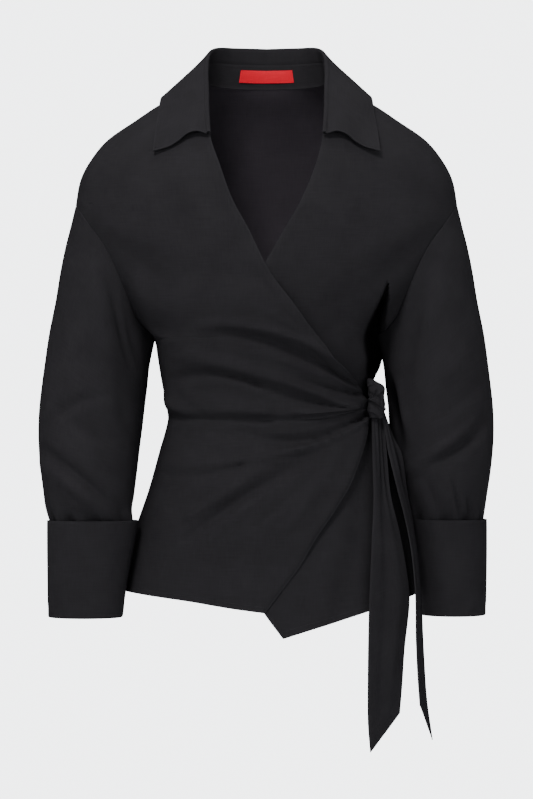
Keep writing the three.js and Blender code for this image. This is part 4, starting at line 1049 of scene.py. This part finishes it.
def collar_station(along):
    """Neck seam, crest, outer edge and stand seam, from -1 at the viewer's left front end to 1."""
    side = np.where(along < 0, LEFT, RIGHT)
    share = np.abs(along)
    flip = np.stack([-side, np.ones_like(share), np.ones_like(share)], axis=-1)
    crest = COLLAR.read_point("crest_x crest_y crest_z", share) * flip
    edge = COLLAR.read_point("edge_x edge_y edge_z", share) * flip
    front = ease((share - 0.5) * 8)
    front_height = mix(NECK_SIDE, -50, np.clip((share - 0.5) * 2, 0, 1))
    front_angle = mix(side * 90.0, angle_at(side * 72.5, front_height), front)
    back_angle = side * 180 * np.minimum(share, 0.5)
    back_height = NECK_SIDE - NECK_BACK_DIP * np.cos(np.radians(back_angle))
    on_back = (share < 0.5)[:, None]
    neck = np.where(
        on_back, body_point(BACK, back_angle, back_height), body_point(FRONT, front_angle, front_height))
    lean = np.where(share < 0.5, 0, ease((share - 0.5) * 5))[:, None]
    away = unit(mix(np.array([0.0, 0.0, 1.0]), open_normal(FRONT, front_angle, front_height), lean))
    neck = neck + NECK_GAP * away
    seam_share = COLLAR_SEAM_SHARE * (1 - 0.85 * ease((share - 0.72) / 0.25))
    return neck, crest, edge, mix(neck, crest, seam_share[:, None])


def smooth_rows(stations, rows):
    """Smooth lines through the stations of every column, at evenly spread places."""
    keys = np.arange(len(stations))
    at = np.linspace(0, len(stations) - 1, rows)
    flat = np.array(stations).reshape(len(stations), -1)
    table = Table("key " + " ".join(f"c{i}" for i in range(flat.shape[1])), np.column_stack([keys, flat]))
    lines = np.stack([table.read(f"c{i}", at) for i in range(flat.shape[1])], axis=-1)
    return lines.reshape(rows, *np.array(stations[0]).shape)


def make_collar():
    steps = spaced(COLLAR_HALF_LENGTH, COLLAR_STEP)[0]
    along = np.concatenate([-1 + steps / COLLAR_HALF_LENGTH, 1 - steps[::-1][1:] / COLLAR_HALF_LENGTH])
    neck, crest, edge, seam = collar_station(along)
    out = unit((edge - crest) * np.array([1, 1, 0]))
    up = np.array([0.0, 0.0, 1.0])
    turned = crest + COLLAR_TURN * out - COLLAR_DROP * up
    near_end = ease((np.abs(along) - 0.82) / 0.18)[:, None]
    lines = [seam + 0.2 * unit(crest - neck), crest - 1.2 * up, crest + COLLAR_TURN / 2 * out, turned]
    fold = smooth_rows(lines, COLLAR_FOLD_ROWS)
    leaf = []
    for share in spaced(COLLAR_DEPTH, COLLAR_STEP)[0][1:] / COLLAR_DEPTH:
        rise = COLLAR_END.read("rise", share) * near_end + COLLAR_CROWN * math.sin(math.pi * share)
        leaf.append(mix(turned, edge, share) + up * rise)
    points = np.concatenate([fold, np.array(leaf)])
    down = running_length(points, 0)
    across = np.broadcast_to((along + 1) * COLLAR_HALF_LENGTH, down.shape)
    cloth = Cloth(points, np.stack([across, -down], axis=-1), down, across)
    lift = 0.9 * np.sin(across / 31 + 0.6) * ease((down - 30) / 60)
    for name in ("bottom", "start", "end"):
        lift = lift + cloth.stitch(name, COLLAR_STITCH)
    cloth.lift(lift + cloth.seam("top"), -1)
    sew("collar_fall", cloth, -1, [POPLIN, POPLIN], thickness=COLLAR_CLOTH, rounding=0.5)


def make_stand():
    along = np.linspace(-STAND_REACH, STAND_REACH, STAND_COLUMNS + 1)
    neck, _, _, seam = collar_station(along)
    share = mix(-0.06, 1, (spaced(STAND_DEPTH, 3.0)[0] / STAND_DEPTH)[:, None, None])
    points = mix(neck, seam, share)
    down = running_length(points, 0)
    across = np.broadcast_to((along + STAND_REACH) * COLLAR_HALF_LENGTH, down.shape)
    cloth = Cloth(points, np.stack([across, down], axis=-1), down, across)
    lift = cloth.stitch("top", BAND_STITCH) + cloth.stitch("bottom", BAND_STITCH) + cloth.seam("top")
    cloth.lift(lift, 1)
    sew("collar_stand", cloth, 1, [POPLIN, POPLIN], thickness=CLOTH * 1.5)


def make_label():
    along = np.linspace(-0.3, 0.3, 400)
    run = running_length(collar_station(along)[0][None], 1)[0]
    run = run - np.interp(0, along, run)
    across = spaced(2 * LABEL_HALF_WIDTH, 1.6)[0]
    spot = np.interp(across - LABEL_HALF_WIDTH, run, along)
    neck, _, _, seam = collar_station(spot)
    middle = collar_station(np.array([0.0]))
    middle_neck, middle_seam = middle[0][0, 2], middle[3][0, 2]
    heights = LABEL_HIGH - spaced(LABEL_HIGH - LABEL_LOW, 1.6)[0]
    share = ((heights - middle_neck) / (middle_seam - middle_neck))[:, None, None]
    points = mix(neck, seam, share)
    down = (LABEL_HIGH - heights)[:, None] + 0 * spot
    width = across + 0 * down
    cloth = Cloth(points, np.stack([width, -down], axis=-1), down, width)
    inwards = cloth.normals(-1)
    pillow = 0.5 * np.sin(np.pi * width / (2 * LABEL_HALF_WIDTH)) * np.sin(np.pi * down / down.max())
    cloth.points = cloth.points - inwards * (1.4 + pillow + 0.2 * np.sin(width / 6.0))[..., None]
    cloth.stitch("start", BAND_STITCH)
    cloth.stitch("end", BAND_STITCH)
    sew("neck_label", cloth, 1, [LABEL_RED], thickness=LABEL_CLOTH, rounding=0.2)


# Tie

def make_knot():
    """The knot: two turns of the tie pulled tight, creased across each other."""
    share = np.linspace(0, 1, KNOT_ROWS + 1)
    heights = mix(KNOT.rows[-1, 0], KNOT.rows[0, 0], share)[:, None]
    angle = np.linspace(0, 2 * np.pi, KNOT_COLUMNS + 1)[None, :-1]
    left, right = KNOT.read("left", heights), KNOT.read("right", heights)
    front, back = KNOT.read("front", heights), KNOT.read("back", heights)
    cosine = np.sign(np.cos(angle)) * np.abs(np.cos(angle)) ** KNOT_SQUARENESS
    sine = np.sign(np.sin(angle)) * np.abs(np.sin(angle)) ** KNOT_SQUARENESS
    x = (left + right) / 2 + (right - left) / 2 * cosine
    y = (front + back) / 2 - (back - front) / 2 * sine
    points = np.stack([x, y, heights + 0 * angle], axis=-1)
    cloth = Cloth(points, np.stack([x + y, heights + 0 * x], axis=-1), 0 * x, 0 * x)
    facing = ease(np.sin(angle) * 1.5) * ease(np.sin(np.pi * share) * 4)[:, None]
    relief = fold_lift(KNOT_FOLDS, x, heights + 0 * x, 0.7, 0.2) * facing
    behind = 0.8 * np.sin(heights / 3.1 + 1.6 * np.cos(angle)) * (1 - facing)
    cloth.lift(relief + behind * np.sin(np.pi * share)[:, None], 1)
    index = np.arange(x.size).reshape(-1, KNOT_COLUMNS)
    beside = np.roll(index, -1, axis=1)
    faces = np.stack([index[:-1], index[1:], beside[1:], beside[:-1]], axis=-1).reshape(-1, 4).tolist()
    faces += [index[0].tolist(), index[-1][::-1].tolist()]
    mesh = bpy.data.meshes.new("tie_knot_cloth")
    mesh.from_pydata((cloth.points.reshape(-1, 3) * MM).tolist(), [], faces)
    shape = bmesh.new()
    shape.from_mesh(mesh)
    bmesh.ops.recalc_face_normals(shape, faces=shape.faces)
    shape.to_mesh(mesh)
    shape.free()
    piece = piece_of(mesh, cloth.thread, {
        "stitch_gap": NO_STITCH, "stitch_run": 0.0, "edge": NO_STITCH, "painted_shade": 0.0,
    }, [POPLIN])
    finish_piece(piece, "tie_knot")


def make_tail(node, stations):
    """A tail of the tie, pleated where the knot holds it."""
    down = spaced(TAIL_LENGTH)[0][:, None]
    fallen = down / TAIL_LENGTH
    at = fallen * stations.rows[-1, 0]
    across = spaced(TAIL_WIDTH, 2.4)[0][None, :]
    share = across / TAIL_WIDTH
    left = stations.read_point("left_x left_y left_z", at)
    right = stations.read_point("right_x right_y right_z", at)
    flat = (right - left) * np.array([1, 1, 0])
    out = unit(np.cross(flat, np.array([0.0, 0.0, 1.0])))
    pleat = TAIL_PLEAT * np.sin(2 * np.pi * share) * (1 - ease(fallen / TAIL_PLEAT_END))
    creases = TAIL_CREASE * np.sin(6 * np.pi * share + 0.5) * (1 - ease(fallen / TAIL_CREASE_END))
    along = np.sin(np.pi * np.clip(fallen, 0, 1)) ** 0.6
    for spot, reach, height in TAIL_CREASES[node]:
        gap = share - spot - 0.12 * np.sin(down / 120)
        creases = creases + height * np.exp(-((gap / reach) ** 2)) * along
    points = mix(left, right, share[..., None]) + out * (pleat + creases)[..., None]
    thread = np.stack([across + 0 * down, -down + 0 * across], axis=-1)
    cloth = Cloth(points, thread, down + 0 * across, across + 0 * down)
    roll = [-0.5 * np.exp(-((cloth.edges[name] / 1.6) ** 2)) for name in ("start", "end")]
    cloth.lift(roll[0] + roll[1], 1)
    sew(node, cloth, 1, [POPLIN, POPLIN], thickness=TIE_CLOTH, rounding=0.4)


make_bodice()
make_skirt()
make_sleeve("sleeve_right", LEFT)
make_sleeve("sleeve_left", RIGHT)
make_cuff("cuff_right", LEFT)
make_cuff("cuff_left", RIGHT)
make_collar()
make_stand()
make_label()
make_knot()
make_tail("tie_tail_front", FRONT_TAIL)
make_tail("tie_tail_back", BACK_TAIL)


# Floor, light and camera

def make_floor():
    bpy.ops.mesh.primitive_circle_add(
        vertices=96, radius=FLOOR_RADIUS, fill_type="NGON", location=(0, 0, FLOOR_LEVEL))
    floor = bpy.context.object
    floor.name = "pale_floor"
    finish = Finish("pale_floor_paint")
    spot = finish.node("ShaderNodeTexCoord", {}, {}, "Object")
    grain = finish.node("ShaderNodeTexNoise", {}, {"Vector": spot, "Scale": 8.0, "Detail": 3.0})
    tone = finish.node("ShaderNodeMix", {"data_type": "RGBA"}, {
        "Factor": grain, 6: (0.80, 0.82, 0.83, 1.0), 7: (0.84, 0.86, 0.87, 1.0)}, 2)
    floor.data.materials.append(finish.show(tone, 0.9, grain, 0.0002, 0.0, 0.2))


def add_softbox(name, place, size, power):
    bpy.ops.object.light_add(type="AREA", location=place)
    light = bpy.context.object
    light.name = name
    light.data.shape = "RECTANGLE"
    light.data.size, light.data.size_y = size
    light.data.energy = power
    aim = np.array(LAMP_TARGET) - np.array(place)
    light.rotation_euler = (
        math.atan2(math.hypot(aim[0], aim[1]), -aim[2]), 0, math.atan2(aim[1], aim[0]) - math.pi / 2)


def light_scene():
    world = bpy.data.worlds.new("pale_studio")
    bpy.context.scene.world = world
    world.use_nodes = True
    nodes, links = world.node_tree.nodes, world.node_tree.links
    backdrop = nodes["Background"]
    direction = nodes.new("ShaderNodeTexCoord")
    split = nodes.new("ShaderNodeSeparateXYZ")
    level = nodes.new("ShaderNodeMath")
    level.operation = "ABSOLUTE"
    band = nodes.new("ShaderNodeMapRange")
    band.interpolation_type = "SMOOTHSTEP"
    ends = {"From Min": BAND_END, "From Max": SKY_START, "To Min": WORLD_BAND, "To Max": WORLD_SKY}
    for name, value in ends.items():
        band.inputs[name].default_value = value
    links.new(direction.outputs["Generated"], split.inputs[0])
    links.new(split.outputs["Z"], level.inputs[0])
    links.new(level.outputs[0], band.inputs["Value"])
    links.new(band.outputs[0], backdrop.inputs["Strength"])
    backdrop.inputs["Color"].default_value = WORLD_COLOUR
    for name, (place, size, power) in LAMPS.items():
        add_softbox(name, place, size, power)


def add_camera():
    bpy.ops.object.camera_add(
        location=(0, -CAMERA_DISTANCE, CAMERA_LEVEL), rotation=(math.radians(90), 0, 0))
    camera = bpy.context.object
    camera.data.sensor_width = SENSOR
    camera.data.lens = SENSOR * CAMERA_DISTANCE / PICTURE_HEIGHT
    bpy.context.scene.camera = camera


make_floor()
light_scene()
add_camera()
